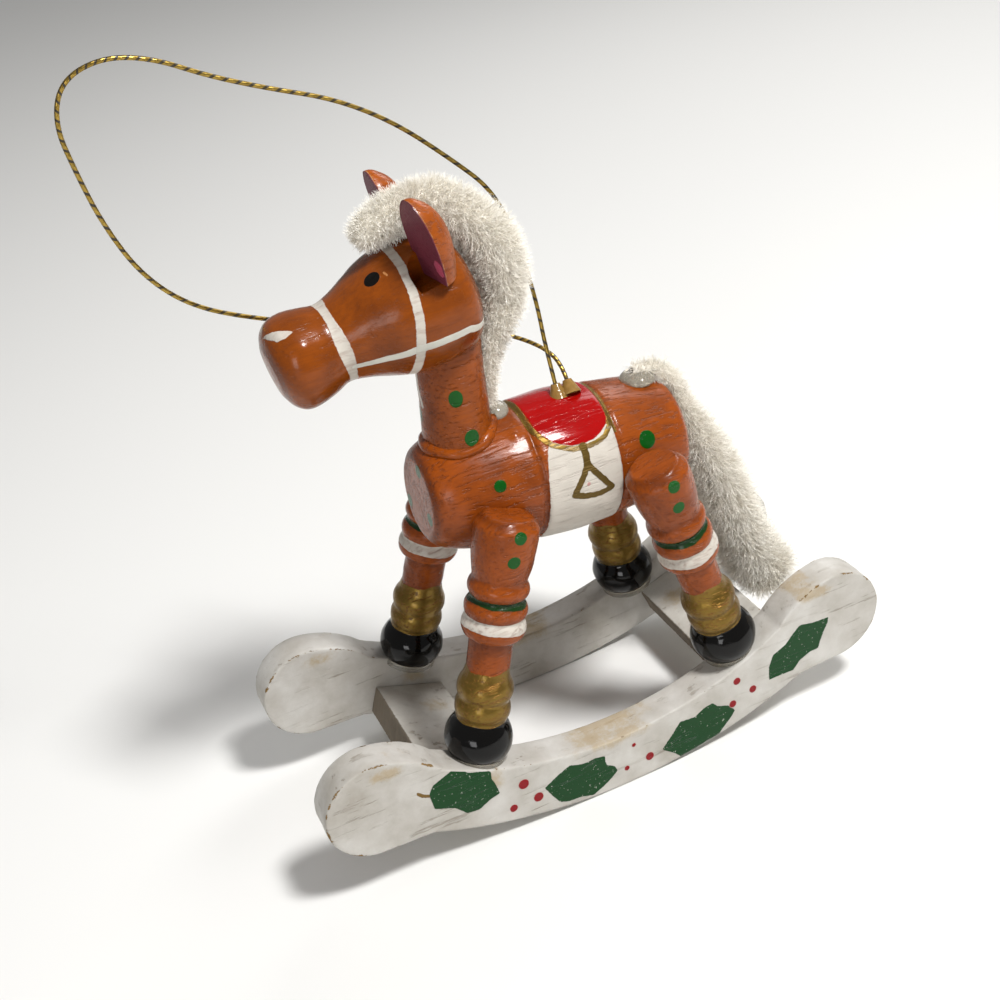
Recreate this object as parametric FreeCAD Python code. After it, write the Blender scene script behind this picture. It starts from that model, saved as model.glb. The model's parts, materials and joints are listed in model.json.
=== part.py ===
import FreeCAD
import Part
import math
import os

# A small wooden rocking horse made as a tree ornament: two plywood rockers
# joined by two cross boards, four turned legs glued to the rocker tops, a
# turned barrel body, a turned neck and head, two half-round ears, a chenille
# mane and tail on wire, and a loop of gold thread glued to the saddle.
#
# Frame: +X to the nose, +Y to the horse's left, +Z up. The origin is midway
# along the rockers, on the centre plane, at the lowest line of the rockers.
# All sizes are in millimetres.

os.makedirs("parts", exist_ok=True)

V = FreeCAD.Vector

# ---------------------------------------------------------------- rockers
ROCKER_LENGTH = 102.0
ROCKER_OUTER_Y = 20.2
ROCKER_THICK = 6.0
ROCKER_INNER_Y = ROCKER_OUTER_Y - ROCKER_THICK
SOLE_RADIUS = 87.6
TOP_RADIUS = 61.2
WAIST_HEIGHT = 10.1
LOBE_RADIUS = 8.45
LOBE_X = ROCKER_LENGTH / 2.0 - LOBE_RADIUS
LOBE_Z = 15.9
SOLE_END_X = 34.5
SHOULDER_X = 31.0

# ------------------------------------------------------------ cross boards
BOARD_WIDTH = 13.0
BOARD_THICK = 5.0
BOARD_TILT = 20.0
FRONT_BOARD_X = 19.3
FRONT_BOARD_Z = 7.6
REAR_BOARD_X = -22.0
REAR_BOARD_Z = 9.9

# -------------------------------------------------------------------- body
BODY_Z = 52.8
BODY_PITCH = 4.3
BODY_REAR = -24.8
BODY_FRONT = 20.6
BODY_RADIUS = 11.8
SHOULDER_RADIUS = 10.5
REAR_GROOVE = -10.5
FRONT_GROOVE = 3.3
GROOVE_DEPTH = 0.5
GROOVE_HALF = 0.55

# -------------------------------------------------------------------- legs
LEG_LENGTH = 41.4
FRONT_FOOT = V(23.9, 15.4, 15.0)
FRONT_LEG_UP = V(-0.319, -0.058, 0.946)
REAR_LEFT_FOOT = V(-23.75, 15.1, 15.0)
REAR_LEFT_UP = V(0.248, 0.012, 0.969)
REAR_RIGHT_FOOT = V(-19.8, 14.9, 13.5)
REAR_RIGHT_UP = V(0.13, -0.05, 0.984)

# ----------------------------------------------------------- neck and head
NECK_BASE = V(12.2, 0.0, 61.6)
NECK_UP = V(-0.05, 0.0, 1.0)
NECK_RADIUS = 5.35
NECK_LENGTH = 18.0
COLLAR_RADIUS = 6.3
COLLAR_HEIGHT = 1.2
TENON_RADIUS = 2.5
TENON_LENGTH = 6.0
TENON_CLEAR = 0.05
HEAD_BACK = V(6.8, 0.0, 88.15)
HEAD_DROOP = 9.3
HEAD_LENGTH = 32.3

# -------------------------------------------------------------------- ears
EAR_BASE = V(13.49, 7.42, 92.32)
EAR_UP = V(0.196, 0.092, 0.976)
EAR_LENGTH = 13.7
EAR_SOCKET_RADIUS = 3.3
EAR_SOCKET_LENGTH = 12.0
LEFT_EAR_TURN = 10.0
RIGHT_EAR_TURN = 0.0

# --------------------------------------------------------- chenille stems
WIRE_RADIUS = 0.45
WIRE_SHOW = 0.8
MANE_GLUE = V(5.4, 0.0, 64.8)
TAIL_GLUE = V(-20.0, 0.0, 61.9)

# ------------------------------------------------------------- gold thread
CORD_RADIUS = 0.35
CORD_DIAMETER = 2.0 * CORD_RADIUS


def export(node, shape):
    """Write one named piece and say what it is made of."""
    solids = shape.Solids
    if len(solids) == 1:
        shape = solids[0]
    else:
        shape = Part.makeCompound(solids)
    shape.exportStep("parts/" + node + ".step")
    box = shape.BoundBox
    print(
        "%-20s solids %d volume %9.2f  x %.1f %.1f  y %.1f %.1f  z %.1f %.1f valid %s"
        % (
            node,
            len(solids),
            shape.Volume,
            box.XMin,
            box.XMax,
            box.YMin,
            box.YMax,
            box.ZMin,
            box.ZMax,
            shape.isValid(),
        )
    )
    return shape


def mirrored(shape):
    """The same piece on the other side of the centre plane."""
    return shape.mirror(V(0, 0, 0), V(0, 1, 0))


def largest(shape):
    """Keep the main solid of a cut and drop loose crumbs."""
    return sorted(shape.Solids, key=lambda solid: solid.Volume)[-1]


def stand(shape, base, up):
    """Turn a piece built along +Z onto the direction up and put it at base."""
    turn = FreeCAD.Rotation(V(0, 0, 1), up)
    placed = shape.copy()
    placed.Placement = FreeCAD.Placement(base, turn).multiply(placed.Placement)
    return placed


def turned(edges, angle=360):
    """Spin a closed half section drawn in XZ round the Z axis."""
    wire = Part.Wire(edges)
    face = Part.Face(wire)
    return face.revolve(V(0, 0, 0), V(0, 0, 1), angle)


def station(s, radius):
    """A point of a half section: s along the axis, radius out from it."""
    return V(radius, 0, s)


def line(a, b):
    """A straight edge between two half-section stations."""
    return Part.LineSegment(station(*a), station(*b)).toShape()


def bulge(a, mid, b):
    """A rounded edge through three half-section stations."""
    return Part.Arc(station(*a), station(*mid), station(*b)).toShape()


def flow(stations):
    """A smooth edge through many half-section stations."""
    curve = Part.BSplineCurve()
    curve.interpolate([station(*item) for item in stations])
    return curve.toShape()


def unit(vector):
    """The same direction with length one."""
    result = V(vector)
    result.normalize()
    return result


# ================================================================ rockers
def arc_height(radius, low, x):
    """Height at x of an upward-curving arc whose lowest point is low."""
    return low + radius - math.sqrt(radius * radius - x * x)


def rocker_outline():
    """Side outline of a rocker: curved sole, round lobes, hollow top."""
    sole_z = arc_height(SOLE_RADIUS, 0.0, SOLE_END_X)
    top_z = arc_height(TOP_RADIUS, WAIST_HEIGHT, SHOULDER_X)
    lobe_low = LOBE_Z - LOBE_RADIUS
    lobe_high = LOBE_Z + LOBE_RADIUS
    mid_x = (SHOULDER_X + LOBE_X) / 2.0 - 0.6
    mid_z = (top_z + lobe_high) / 2.0 + 1.1
    rear_sole = V(-SOLE_END_X, 0, sole_z)
    front_sole = V(SOLE_END_X, 0, sole_z)
    front_low = V(LOBE_X, 0, lobe_low)
    front_high = V(LOBE_X, 0, lobe_high)
    front_shoulder = V(SHOULDER_X, 0, top_z)
    rear_shoulder = V(-SHOULDER_X, 0, top_z)
    rear_high = V(-LOBE_X, 0, lobe_high)
    rear_low = V(-LOBE_X, 0, lobe_low)
    edges = [
        Part.Arc(rear_sole, V(0, 0, 0), front_sole).toShape(),
        Part.LineSegment(front_sole, front_low).toShape(),
        Part.Arc(front_low, V(LOBE_X + LOBE_RADIUS, 0, LOBE_Z), front_high).toShape(),
        Part.Arc(front_high, V(mid_x, 0, mid_z), front_shoulder).toShape(),
        Part.Arc(front_shoulder, V(0, 0, WAIST_HEIGHT), rear_shoulder).toShape(),
        Part.Arc(rear_shoulder, V(-mid_x, 0, mid_z), rear_high).toShape(),
        Part.Arc(rear_high, V(-LOBE_X - LOBE_RADIUS, 0, LOBE_Z), rear_low).toShape(),
        Part.LineSegment(rear_low, rear_sole).toShape(),
    ]
    return Part.Wire(edges)


def make_rocker():
    """The left rocker, sawn from plywood."""
    face = Part.Face(rocker_outline())
    face.translate(V(0, ROCKER_INNER_Y, 0))
    return face.extrude(V(0, ROCKER_THICK, 0))


# =========================================================== cross boards
def make_board(x, z, tilt):
    """A raw-ended board glued between the rockers, tilted with their curve."""
    board = Part.makeBox(
        BOARD_WIDTH,
        2.0 * ROCKER_INNER_Y,
        BOARD_THICK,
        V(0, -ROCKER_INNER_Y, -BOARD_THICK),
    )
    if tilt < 0:
        board.translate(V(-BOARD_WIDTH, 0, 0))
    board.rotate(V(0, 0, 0), V(0, 1, 0), -tilt)
    board.translate(V(x, 0, z))
    return board


# =================================================================== body
def make_body():
    """Turned barrel with two scored grooves, laid along the horse."""
    rear = [
        (BODY_REAR, 6.4),
        (BODY_REAR + 0.9, 8.5),
        (BODY_REAR + 2.6, 9.8),
        (BODY_REAR + 7.8, 10.6),
        (REAR_GROOVE - GROOVE_HALF, 11.3),
    ]
    middle = [
        (REAR_GROOVE + GROOVE_HALF, BODY_RADIUS - 0.3),
        (-4.0, BODY_RADIUS),
        (FRONT_GROOVE - GROOVE_HALF, BODY_RADIUS - 0.3),
    ]
    front = [
        (FRONT_GROOVE + GROOVE_HALF, BODY_RADIUS - 0.5),
        (7.5, 11.0),
        (11.1, SHOULDER_RADIUS),
        (14.8, 9.9),
        (17.6, 9.1),
        (BODY_FRONT - 1.0, 8.0),
        (BODY_FRONT, 6.6),
    ]
    rear_cut = (REAR_GROOVE, BODY_RADIUS - 0.4 - GROOVE_DEPTH)
    front_cut = (FRONT_GROOVE, BODY_RADIUS - 0.4 - GROOVE_DEPTH)
    edges = [
        line((BODY_REAR, 0.0), rear[0]),
        flow(rear),
        line(rear[-1], rear_cut),
        line(rear_cut, middle[0]),
        flow(middle),
        line(middle[-1], front_cut),
        line(front_cut, front[0]),
        flow(front),
        line(front[-1], (BODY_FRONT, 0.0)),
        line((BODY_FRONT, 0.0), (BODY_REAR, 0.0)),
    ]
    barrel = turned(edges)
    pitch = math.radians(BODY_PITCH)
    return stand(barrel, V(0, 0, BODY_Z), V(math.cos(pitch), 0, math.sin(pitch)))


# =================================================================== legs
def make_leg(foot, up):
    """Turned leg: hoof, double fetlock bead, shank, three rings, thigh."""
    edges = [
        line((0.0, 0.0), (0.0, 4.3)),
        bulge((0.0, 4.3), (2.9, 5.6), (6.3, 4.2)),
        line((6.3, 4.2), (6.6, 4.0)),
        bulge((6.6, 4.0), (8.4, 4.55), (9.9, 4.1)),
        bulge((9.9, 4.1), (11.8, 4.6), (13.4, 3.9)),
        line((13.4, 3.9), (14.8, 3.5)),
        line((14.8, 3.5), (20.0, 3.6)),
        line((20.0, 3.6), (20.2, 4.5)),
        bulge((20.2, 4.5), (22.0, 5.2), (23.6, 4.6)),
        bulge((23.6, 4.6), (25.0, 5.1), (26.3, 4.6)),
        line((26.3, 4.6), (26.8, 4.2)),
        line((26.8, 4.2), (27.3, 4.5)),
        bulge((27.3, 4.5), (28.5, 5.0), (29.7, 4.5)),
        line((29.7, 4.5), (30.1, 4.4)),
        flow([(30.1, 4.4), (33.0, 4.9), (36.5, 5.2), (39.6, 5.2)]),
        line((39.6, 5.2), (LEG_LENGTH, 3.9)),
        line((LEG_LENGTH, 3.9), (LEG_LENGTH, 0.0)),
        line((LEG_LENGTH, 0.0), (0.0, 0.0)),
    ]
    return stand(turned(edges), foot, up)


def make_hoof_glue(foot, up, leg, rocker):
    """Bead of clear glue squeezed out round the sole of one hoof."""
    bead = Part.makeCylinder(4.7, 1.4, V(0, 0, -0.7))
    bead = stand(bead, foot, up)
    return largest(bead.cut(leg).cut(rocker))


# =================================================================== neck
def make_neck():
    """Turned neck, a little wider at its foot, with a tenon at each end."""
    foot = -TENON_LENGTH - 4.0
    top = NECK_LENGTH + TENON_LENGTH
    edges = [
        line((foot, 0.0), (foot, TENON_RADIUS)),
        line((foot, TENON_RADIUS), (-3.0, TENON_RADIUS)),
        line((-3.0, TENON_RADIUS), (-3.0, NECK_RADIUS + 0.3)),
        line((-3.0, NECK_RADIUS + 0.3), (2.0, NECK_RADIUS + 0.3)),
        line((2.0, NECK_RADIUS + 0.3), (8.0, NECK_RADIUS)),
        line((8.0, NECK_RADIUS), (NECK_LENGTH, NECK_RADIUS)),
        line((NECK_LENGTH, NECK_RADIUS), (NECK_LENGTH, TENON_RADIUS)),
        line((NECK_LENGTH, TENON_RADIUS), (top, TENON_RADIUS)),
        line((top, TENON_RADIUS), (top, 0.0)),
        line((top, 0.0), (foot, 0.0)),
    ]
    return stand(turned(edges), NECK_BASE, unit(NECK_UP))


def make_collar(body, neck):
    """Rounded bead of filler run round the joint of neck and barrel."""
    shell = turned(
        [
            line((0.0, 0.0), (0.0, 11.6 + COLLAR_HEIGHT)),
            flow(
                [
                    (0.0, 11.6 + COLLAR_HEIGHT),
                    (7.5, 11.0 + COLLAR_HEIGHT),
                    (11.1, SHOULDER_RADIUS + COLLAR_HEIGHT),
                    (14.8, 9.9 + COLLAR_HEIGHT),
                    (17.6, 9.1 + COLLAR_HEIGHT),
                    (22.0, 7.6 + COLLAR_HEIGHT),
                ]
            ),
            line((22.0, 7.6 + COLLAR_HEIGHT), (22.0, 0.0)),
            line((22.0, 0.0), (0.0, 0.0)),
        ]
    )
    pitch = math.radians(BODY_PITCH)
    shell = stand(shell, V(0, 0, BODY_Z), V(math.cos(pitch), 0, math.sin(pitch)))
    ring = stand(Part.makeCylinder(COLLAR_RADIUS, 16.0, V(0, 0, -6.0)), NECK_BASE, unit(NECK_UP))
    tenon = stand(Part.makeCylinder(NECK_RADIUS, 30.0, V(0, 0, -15.0)), NECK_BASE, unit(NECK_UP))
    return largest(shell.common(ring).cut(body).cut(tenon).cut(neck))


def tenon_bores():
    """The round holes the neck tenons sit in."""
    low = Part.makeCylinder(
        TENON_RADIUS + TENON_CLEAR,
        TENON_LENGTH + 10.0,
        V(0, 0, -TENON_LENGTH - 4.2),
    )
    high = Part.makeCylinder(
        TENON_RADIUS + TENON_CLEAR,
        TENON_LENGTH + 6.2,
        V(0, 0, NECK_LENGTH - 6.0),
    )
    return (
        stand(low, NECK_BASE, unit(NECK_UP)),
        stand(high, NECK_BASE, unit(NECK_UP)),
    )


# =================================================================== head
def make_head():
    """Turned head: round poll, waisted nose, bulb muzzle."""
    outline = [
        (0.4, 7.0),
        (1.3, 8.5),
        (2.9, 9.6),
        (5.6, 10.1),
        (8.3, 10.25),
        (11.1, 10.0),
        (13.9, 9.3),
        (16.7, 8.1),
        (19.5, 6.95),
        (22.2, 6.3),
        (24.6, 6.9),
        (27.4, 7.45),
        (29.6, 7.2),
        (31.2, 5.9),
        (32.1, 3.9),
    ]
    edges = [
        line((0.0, 0.0), (0.0, 6.2)),
        line((0.0, 6.2), outline[0]),
        flow(outline),
        bulge(outline[-1], (HEAD_LENGTH - 0.05, 2.8), (HEAD_LENGTH, 1.8)),
        line((HEAD_LENGTH, 1.8), (HEAD_LENGTH, 0.0)),
        line((HEAD_LENGTH, 0.0), (0.0, 0.0)),
    ]
    droop = math.radians(HEAD_DROOP)
    return stand(turned(edges), HEAD_BACK, V(math.cos(droop), 0, -math.sin(droop)))


# =================================================================== ears
def make_ear(turn):
    """Half of a turned teardrop: flat in front, round behind."""
    root = EAR_SOCKET_RADIUS - 0.1
    edges = [
        line((0.0, 0.0), (0.0, root)),
        flow([(0.0, root), (2.5, 3.8), (5.8, 4.25), (9.0, 4.0), (11.5, 3.0), (13.0, 1.7)]),
        bulge((13.0, 1.7), (13.5, 1.1), (EAR_LENGTH, 0.4)),
        line((EAR_LENGTH, 0.4), (EAR_LENGTH, 0.0)),
        line((EAR_LENGTH, 0.0), (0.0, 0.0)),
    ]
    half = turned(edges, 180)
    half.rotate(V(0, 0, 0), V(0, 0, 1), 90.0 + turn)
    return stand(half, EAR_BASE, unit(EAR_UP))


def ear_socket():
    """Round hole drilled in the side of the poll for one ear."""
    hole = Part.makeCylinder(EAR_SOCKET_RADIUS, EAR_SOCKET_LENGTH)
    return stand(hole, EAR_BASE, unit(EAR_UP))


# ======================================================== chenille stems
def tangents(points):
    """Direction of a hand-laid line at each of its points."""
    result = []
    last = len(points) - 1
    for index in range(len(points)):
        ahead = points[min(index + 1, last)]
        behind = points[max(index - 1, 0)]
        result.append(unit(ahead - behind))
    return result


def pile(points, radii):
    """Plain solid the size of the clipped pile round one chenille stem."""
    rings = []
    for point, radius, way in zip(points, radii, tangents(points)):
        rings.append(Part.Wire(Part.makeCircle(radius, point, way)))
    return Part.makeLoft(rings, True, False)


def core_wire(points):
    """Twisted wire core of a stem, showing a little at both cut ends."""
    ways = tangents(points)
    first = points[0] - ways[0] * WIRE_SHOW
    last = points[-1] + ways[-1] * WIRE_SHOW
    curve = Part.BSplineCurve()
    curve.interpolate([first] + points[1:-1] + [last])
    path = Part.Wire(curve.toShape())
    ring = Part.Wire(Part.makeCircle(WIRE_RADIUS, first, curve.tangent(curve.FirstParameter)[0]))
    return path.makePipeShell([ring], True, True)


MANE_LINE = [
    (21.0, 99.3, 2.9),
    (18.2, 100.6, 3.6),
    (14.3, 101.5, 3.9),
    (10.0, 101.4, 4.2),
    (6.4, 98.9, 4.5),
    (3.2, 95.4, 4.9),
    (1.3, 91.4, 5.1),
    (0.9, 87.2, 4.9),
    (1.9, 83.0, 4.4),
    (3.6, 78.8, 3.6),
    (5.4, 74.4, 2.6),
    (6.0, 70.0, 2.0),
    (6.5, 66.3, 1.5),
]
TAIL_LINE = [
    (-19.7, 0.0, 63.3, 1.2),
    (-23.5, 0.0, 62.2, 1.6),
    (-25.8, 0.0, 59.5, 1.8),
    (-27.0, 0.0, 55.5, 2.1),
    (-28.6, 0.0, 50.4, 2.9),
    (-30.9, 0.0, 44.5, 3.7),
    (-33.0, 0.0, 37.9, 4.2),
    (-34.8, 0.0, 31.6, 4.3),
    (-36.6, -0.3, 25.2, 4.3),
    (-38.8, -0.3, 19.0, 4.7),
    (-41.3, 0.9, 15.7, 4.6),
]

# ============================================================ gold thread
# Corner points the thread is bent round, from one glued end to the other.
CORD_POINTS = [
    V(-5.5, 0.0, 65.9),
    V(-5.7, -2.2, 71.7),
    V(-6.6, -5.4, 78.5),
    V(-6.1, -7.9, 87.4),
    V(-3.6, -8.4, 97.1),
    V(2.9, -8.3, 104.4),
    V(10.6, -8.1, 112.1),
    V(18.7, -8.4, 117.6),
    V(27.5, -8.3, 121.3),
    V(35.6, -7.9, 125.2),
    V(42.7, -7.4, 129.6),
    V(49.3, -7.2, 131.3),
    V(55.2, -7.4, 129.4),
    V(57.4, -7.9, 123.9),
    V(56.5, -8.3, 117.0),
    V(54.9, -9.3, 108.6),
    V(51.6, -10.2, 99.4),
    V(45.8, -11.1, 92.2),
    V(36.8, -12.1, 86.9),
    V(25.6, -13.1, 82.0),
    V(12.8, -13.2, 77.4),
    V(2.4, -12.2, 73.9),
    V(-3.2, -9.0, 71.9),
    V(-6.4, -4.9, 70.3),
    V(-7.7, -1.7, 68.3),
    V(-7.6, 0.0, 65.9),
]
GLUE_TOP_RADIUS = 0.75
GLUE_FOOT_RADIUS = 1.7


def cord_wire(points):
    """Straight runs joined by tangent arcs, and the radii of the arcs."""
    edges = []
    radii = []
    start = points[0]
    for before, corner, after in zip(points, points[1:], points[2:]):
        way_in = unit(corner - before)
        way_out = unit(after - corner)
        turn = way_in.getAngle(way_out)
        run = min((corner - before).Length, (after - corner).Length)
        reach = 0.45 * run
        radius = reach / math.tan(turn / 2.0)
        first = corner - way_in * reach
        last = corner + way_out * reach
        middle = unit(way_out - way_in)
        centre = corner + middle * (radius / math.cos(turn / 2.0))
        top = centre - middle * radius
        edges.append(Part.LineSegment(start, first).toShape())
        edges.append(Part.Arc(first, top, last).toShape())
        radii.append(radius)
        start = last
    edges.append(Part.LineSegment(start, points[-1]).toShape())
    return Part.Wire(edges), radii


def tube(wire, radius, start, way):
    """A plain round tube swept along a line."""
    ring = Part.Wire(Part.makeCircle(radius, start, way))
    return wire.makePipeShell([ring], True, True)


def make_cord():
    """The loop of gold thread, and its length."""
    wire, radii = cord_wire(CORD_POINTS)
    way = unit(CORD_POINTS[1] - CORD_POINTS[0])
    cord = tube(wire, CORD_RADIUS, CORD_POINTS[0], way)
    print("thread arc radii", " ".join("%.1f" % radius for radius in radii))
    print("thread smallest radius %.2f, wanted %.2f" % (min(radii), 5.0 * CORD_DIAMETER))
    section = math.pi * CORD_RADIUS * CORD_RADIUS
    print("thread length %.2f volume %.3f section x length %.3f" % (wire.Length, cord.Volume, section * wire.Length))
    runs = [(b - a).Length for a, b in zip(CORD_POINTS, CORD_POINTS[1:])]
    print("thread runs", " ".join("%.1f" % run for run in runs))
    return cord


def glue_lump(end, after):
    """Small cone of glue one end of the thread stands in."""
    way = unit(after - end)
    lump = Part.makeCone(GLUE_FOOT_RADIUS, GLUE_TOP_RADIUS, 2.4, V(0, 0, -2.4))
    return stand(lump, end, way)


def make_cord_glue(body):
    """The two lumps run together on the saddle ridge."""
    first = glue_lump(CORD_POINTS[0], CORD_POINTS[1])
    last = glue_lump(CORD_POINTS[-1], CORD_POINTS[-2])
    return largest(first.fuse(last).cut(body))


def glue_dab(centre, width, height, others):
    """Low round dab of glue, trimmed to what it sits on."""
    dab = Part.makeSphere(1.0)
    squash = FreeCAD.Matrix()
    squash.scale(width, width, height)
    dab = dab.transformGeometry(squash)
    dab.translate(centre)
    for other in others:
        dab = dab.cut(other)
    return largest(dab)


def main():
    rocker = make_rocker()
    front_board = make_board(FRONT_BOARD_X, FRONT_BOARD_Z, BOARD_TILT)
    rear_board = make_board(REAR_BOARD_X, REAR_BOARD_Z, -BOARD_TILT)
    body = make_body()
    neck = make_neck()
    head = make_head()
    body_bore, head_bore = tenon_bores()
    neck_trimmed = neck.cut(body.cut(body_bore)).cut(head.cut(head_bore))
    neck = largest(neck_trimmed)
    body = body.cut(body_bore)
    head = head.cut(head_bore)
    sockets = [ear_socket(), mirrored(ear_socket())]
    head = head.cut(sockets[0]).cut(sockets[1])
    left_ear = make_ear(LEFT_EAR_TURN)
    right_ear = mirrored(make_ear(RIGHT_EAR_TURN))
    left_ear = largest(left_ear.cut(head))
    right_ear = largest(right_ear.cut(head))

    export("left_rocker", rocker)
    export("right_rocker", mirrored(rocker))
    export("front_cross_board", front_board)
    export("rear_cross_board", rear_board)
    export("body_barrel", body)
    export("neck", neck)
    collar = make_collar(body, neck)
    export("neck_collar", collar)
    export("head", head)
    export("left_ear", left_ear)
    export("right_ear", right_ear)

    beads = []
    stances = (
        ("front_left_leg", FRONT_FOOT, FRONT_LEG_UP, False),
        ("front_right_leg", FRONT_FOOT, FRONT_LEG_UP, True),
        ("rear_left_leg", REAR_LEFT_FOOT, REAR_LEFT_UP, False),
        ("rear_right_leg", REAR_RIGHT_FOOT, REAR_RIGHT_UP, True),
    )
    for name, foot, up, other_side in stances:
        leg = make_leg(foot, unit(up))
        leg = largest(leg.cut(rocker).cut(body))
        bead = make_hoof_glue(foot, unit(up), leg, rocker)
        if other_side:
            leg = mirrored(leg)
            bead = mirrored(bead)
        export(name, leg)
        beads.append(bead)
    export("hoof_glue", Part.makeCompound(beads))

    mane_points = [V(x, 0, z) for x, z, radius in MANE_LINE]
    mane = pile(mane_points, [item[2] for item in MANE_LINE])
    mane_wire = core_wire(mane_points)
    mane_glue = glue_dab(MANE_GLUE, 2.2, 1.6, (body, neck, collar))
    for other in (head, neck, collar, body, left_ear, right_ear, mane_wire, mane_glue):
        mane = largest(mane.cut(other))
    mane_wire = largest(mane_wire.cut(mane_glue).cut(body))
    export("mane", mane)
    export("mane_wire", mane_wire)
    export("mane_glue", mane_glue)

    tail_points = [V(x, y, z) for x, y, z, radius in TAIL_LINE]
    tail = pile(tail_points, [item[3] for item in TAIL_LINE])
    tail_wire = core_wire(tail_points)
    tail_glue = glue_dab(TAIL_GLUE, 3.0, 1.6, (body,))
    for other in (body, rear_board, tail_wire, tail_glue):
        tail = largest(tail.cut(other))
    tail_wire = largest(tail_wire.cut(tail_glue).cut(body))
    export("tail", tail)
    export("tail_wire", tail_wire)
    export("tail_glue", tail_glue)

    export("hanging_cord", make_cord())
    export("cord_glue", make_cord_glue(body))


main()
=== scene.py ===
"""Looks of a small turned wooden rocking horse ornament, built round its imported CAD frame.

Every length in the classes is in millimetres; meshes are written in metres.
+X is the nose, +Y the horse's left, +Z up, and the origin is under the rockers.
"""

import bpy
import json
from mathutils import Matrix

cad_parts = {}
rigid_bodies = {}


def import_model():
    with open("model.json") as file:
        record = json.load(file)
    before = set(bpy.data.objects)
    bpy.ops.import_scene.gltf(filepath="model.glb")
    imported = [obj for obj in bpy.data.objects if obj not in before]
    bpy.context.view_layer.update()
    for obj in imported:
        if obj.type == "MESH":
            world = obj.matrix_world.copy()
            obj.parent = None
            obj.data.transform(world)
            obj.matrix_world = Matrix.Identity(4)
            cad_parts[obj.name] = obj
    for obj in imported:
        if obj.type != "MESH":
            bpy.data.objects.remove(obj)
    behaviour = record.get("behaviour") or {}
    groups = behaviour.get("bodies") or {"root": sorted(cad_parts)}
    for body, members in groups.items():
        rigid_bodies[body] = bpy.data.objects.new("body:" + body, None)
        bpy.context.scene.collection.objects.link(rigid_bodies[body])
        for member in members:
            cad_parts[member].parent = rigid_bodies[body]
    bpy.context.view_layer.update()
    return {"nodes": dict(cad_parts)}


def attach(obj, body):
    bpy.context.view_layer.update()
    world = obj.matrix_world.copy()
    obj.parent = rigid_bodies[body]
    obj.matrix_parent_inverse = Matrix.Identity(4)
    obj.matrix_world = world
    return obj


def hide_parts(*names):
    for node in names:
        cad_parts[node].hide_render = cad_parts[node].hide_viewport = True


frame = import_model()

import json
import logging
import math
from dataclasses import dataclass
from enum import Enum
from typing import Callable, Dict, List, Optional, Sequence, Tuple

import bmesh
import bpy
import numpy as np
from mathutils import Matrix, Vector
from mathutils.geometry import delaunay_2d_cdt

logging.basicConfig(level=logging.INFO, format="%(message)s")
LOG = logging.getLogger("rocking_horse")

MM = 0.001
FAR = 1e9           # farther than anything on the ornament, to start a search for the nearest
UNPAINTED = 9.0     # a distance in millimetres that keeps paint off a place
Pair = Tuple[float, float]
Triple = Tuple[float, float, float]
Fields = Dict[str, np.ndarray]
Relief = Callable[[np.ndarray], np.ndarray]


# ------------------------------------------------------------------ shared tools
def linear(colour: str) -> Tuple[float, float, float, float]:
    """Turn an sRGB hex colour into linear red, green, blue and alpha.

    Args:
        colour: six hex digits after a hash sign.

    Returns:
        The four linear values.
    """
    parts = [int(colour[i:i + 2], 16) / 255.0 for i in (1, 3, 5)]
    flat = [p / 12.92 if p <= 0.04045 else ((p + 0.055) / 1.055) ** 2.4 for p in parts]
    return (flat[0], flat[1], flat[2], 1.0)


def add_node(tree: bpy.types.NodeTree, kind: str, settings: Optional[dict] = None,
             inputs: Optional[dict] = None) -> bpy.types.Node:
    """Add one node with its settings, values and links.

    Args:
        tree: the node tree.
        kind: the node's type name.
        settings: properties of the node.
        inputs: socket name or number to a value, or to the output that feeds it.

    Returns:
        The new node.
    """
    node = tree.nodes.new(kind)
    for key, value in (settings or {}).items():
        setattr(node, key, value)
    for key, value in (inputs or {}).items():
        socket = node.inputs[key]
        if isinstance(value, bpy.types.NodeSocket):
            tree.links.new(value, socket)
        else:
            socket.default_value = value
    return node


def unit(vector: Sequence[float]) -> np.ndarray:
    """The same direction with length one."""
    array = np.array(vector, float)
    return array / np.linalg.norm(array)


def solid(name: str, points: np.ndarray, faces: List[tuple], fields: Optional[Fields] = None,
          sharp: float = 50.0) -> bpy.types.Object:
    """Make a mesh object at the origin from points in millimetres.

    Args:
        name: the object's name.
        points: the mesh's points.
        faces: point numbers of each face.
        fields: a number at each point for the finish to read.
        sharp: degrees past which an edge is shaded sharp.

    Returns:
        The linked object.
    """
    mesh = bpy.data.meshes.new(name)
    mesh.from_pydata((points * MM).tolist(), [], faces)
    work = bmesh.new()
    work.from_mesh(mesh)
    bmesh.ops.recalc_face_normals(work, faces=work.faces)
    work.to_mesh(mesh)
    work.free()
    mesh.polygons.foreach_set("use_smooth", [True] * len(mesh.polygons))
    mesh.set_sharp_from_angle(angle=math.radians(sharp))
    piece = bpy.data.objects.new(name, mesh)
    bpy.context.scene.collection.objects.link(piece)
    write_fields(piece, fields or {})
    return piece


def write_fields(piece: bpy.types.Object, fields: Fields) -> None:
    """Store a number at each point of a piece under each field's name.

    Args:
        piece: the mesh object.
        fields: field name to one value a point.
    """
    for name, values in fields.items():
        layer = piece.data.attributes.new(name, "FLOAT", "POINT")
        layer.data.foreach_set("value", np.asarray(values, np.float32))


def points_of(piece: bpy.types.Object) -> np.ndarray:
    """The mesh's points in millimetres."""
    flat = np.zeros(len(piece.data.vertices) * 3, np.float32)
    piece.data.vertices.foreach_get("co", flat)
    return flat.reshape(-1, 3).astype(float) / MM


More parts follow.
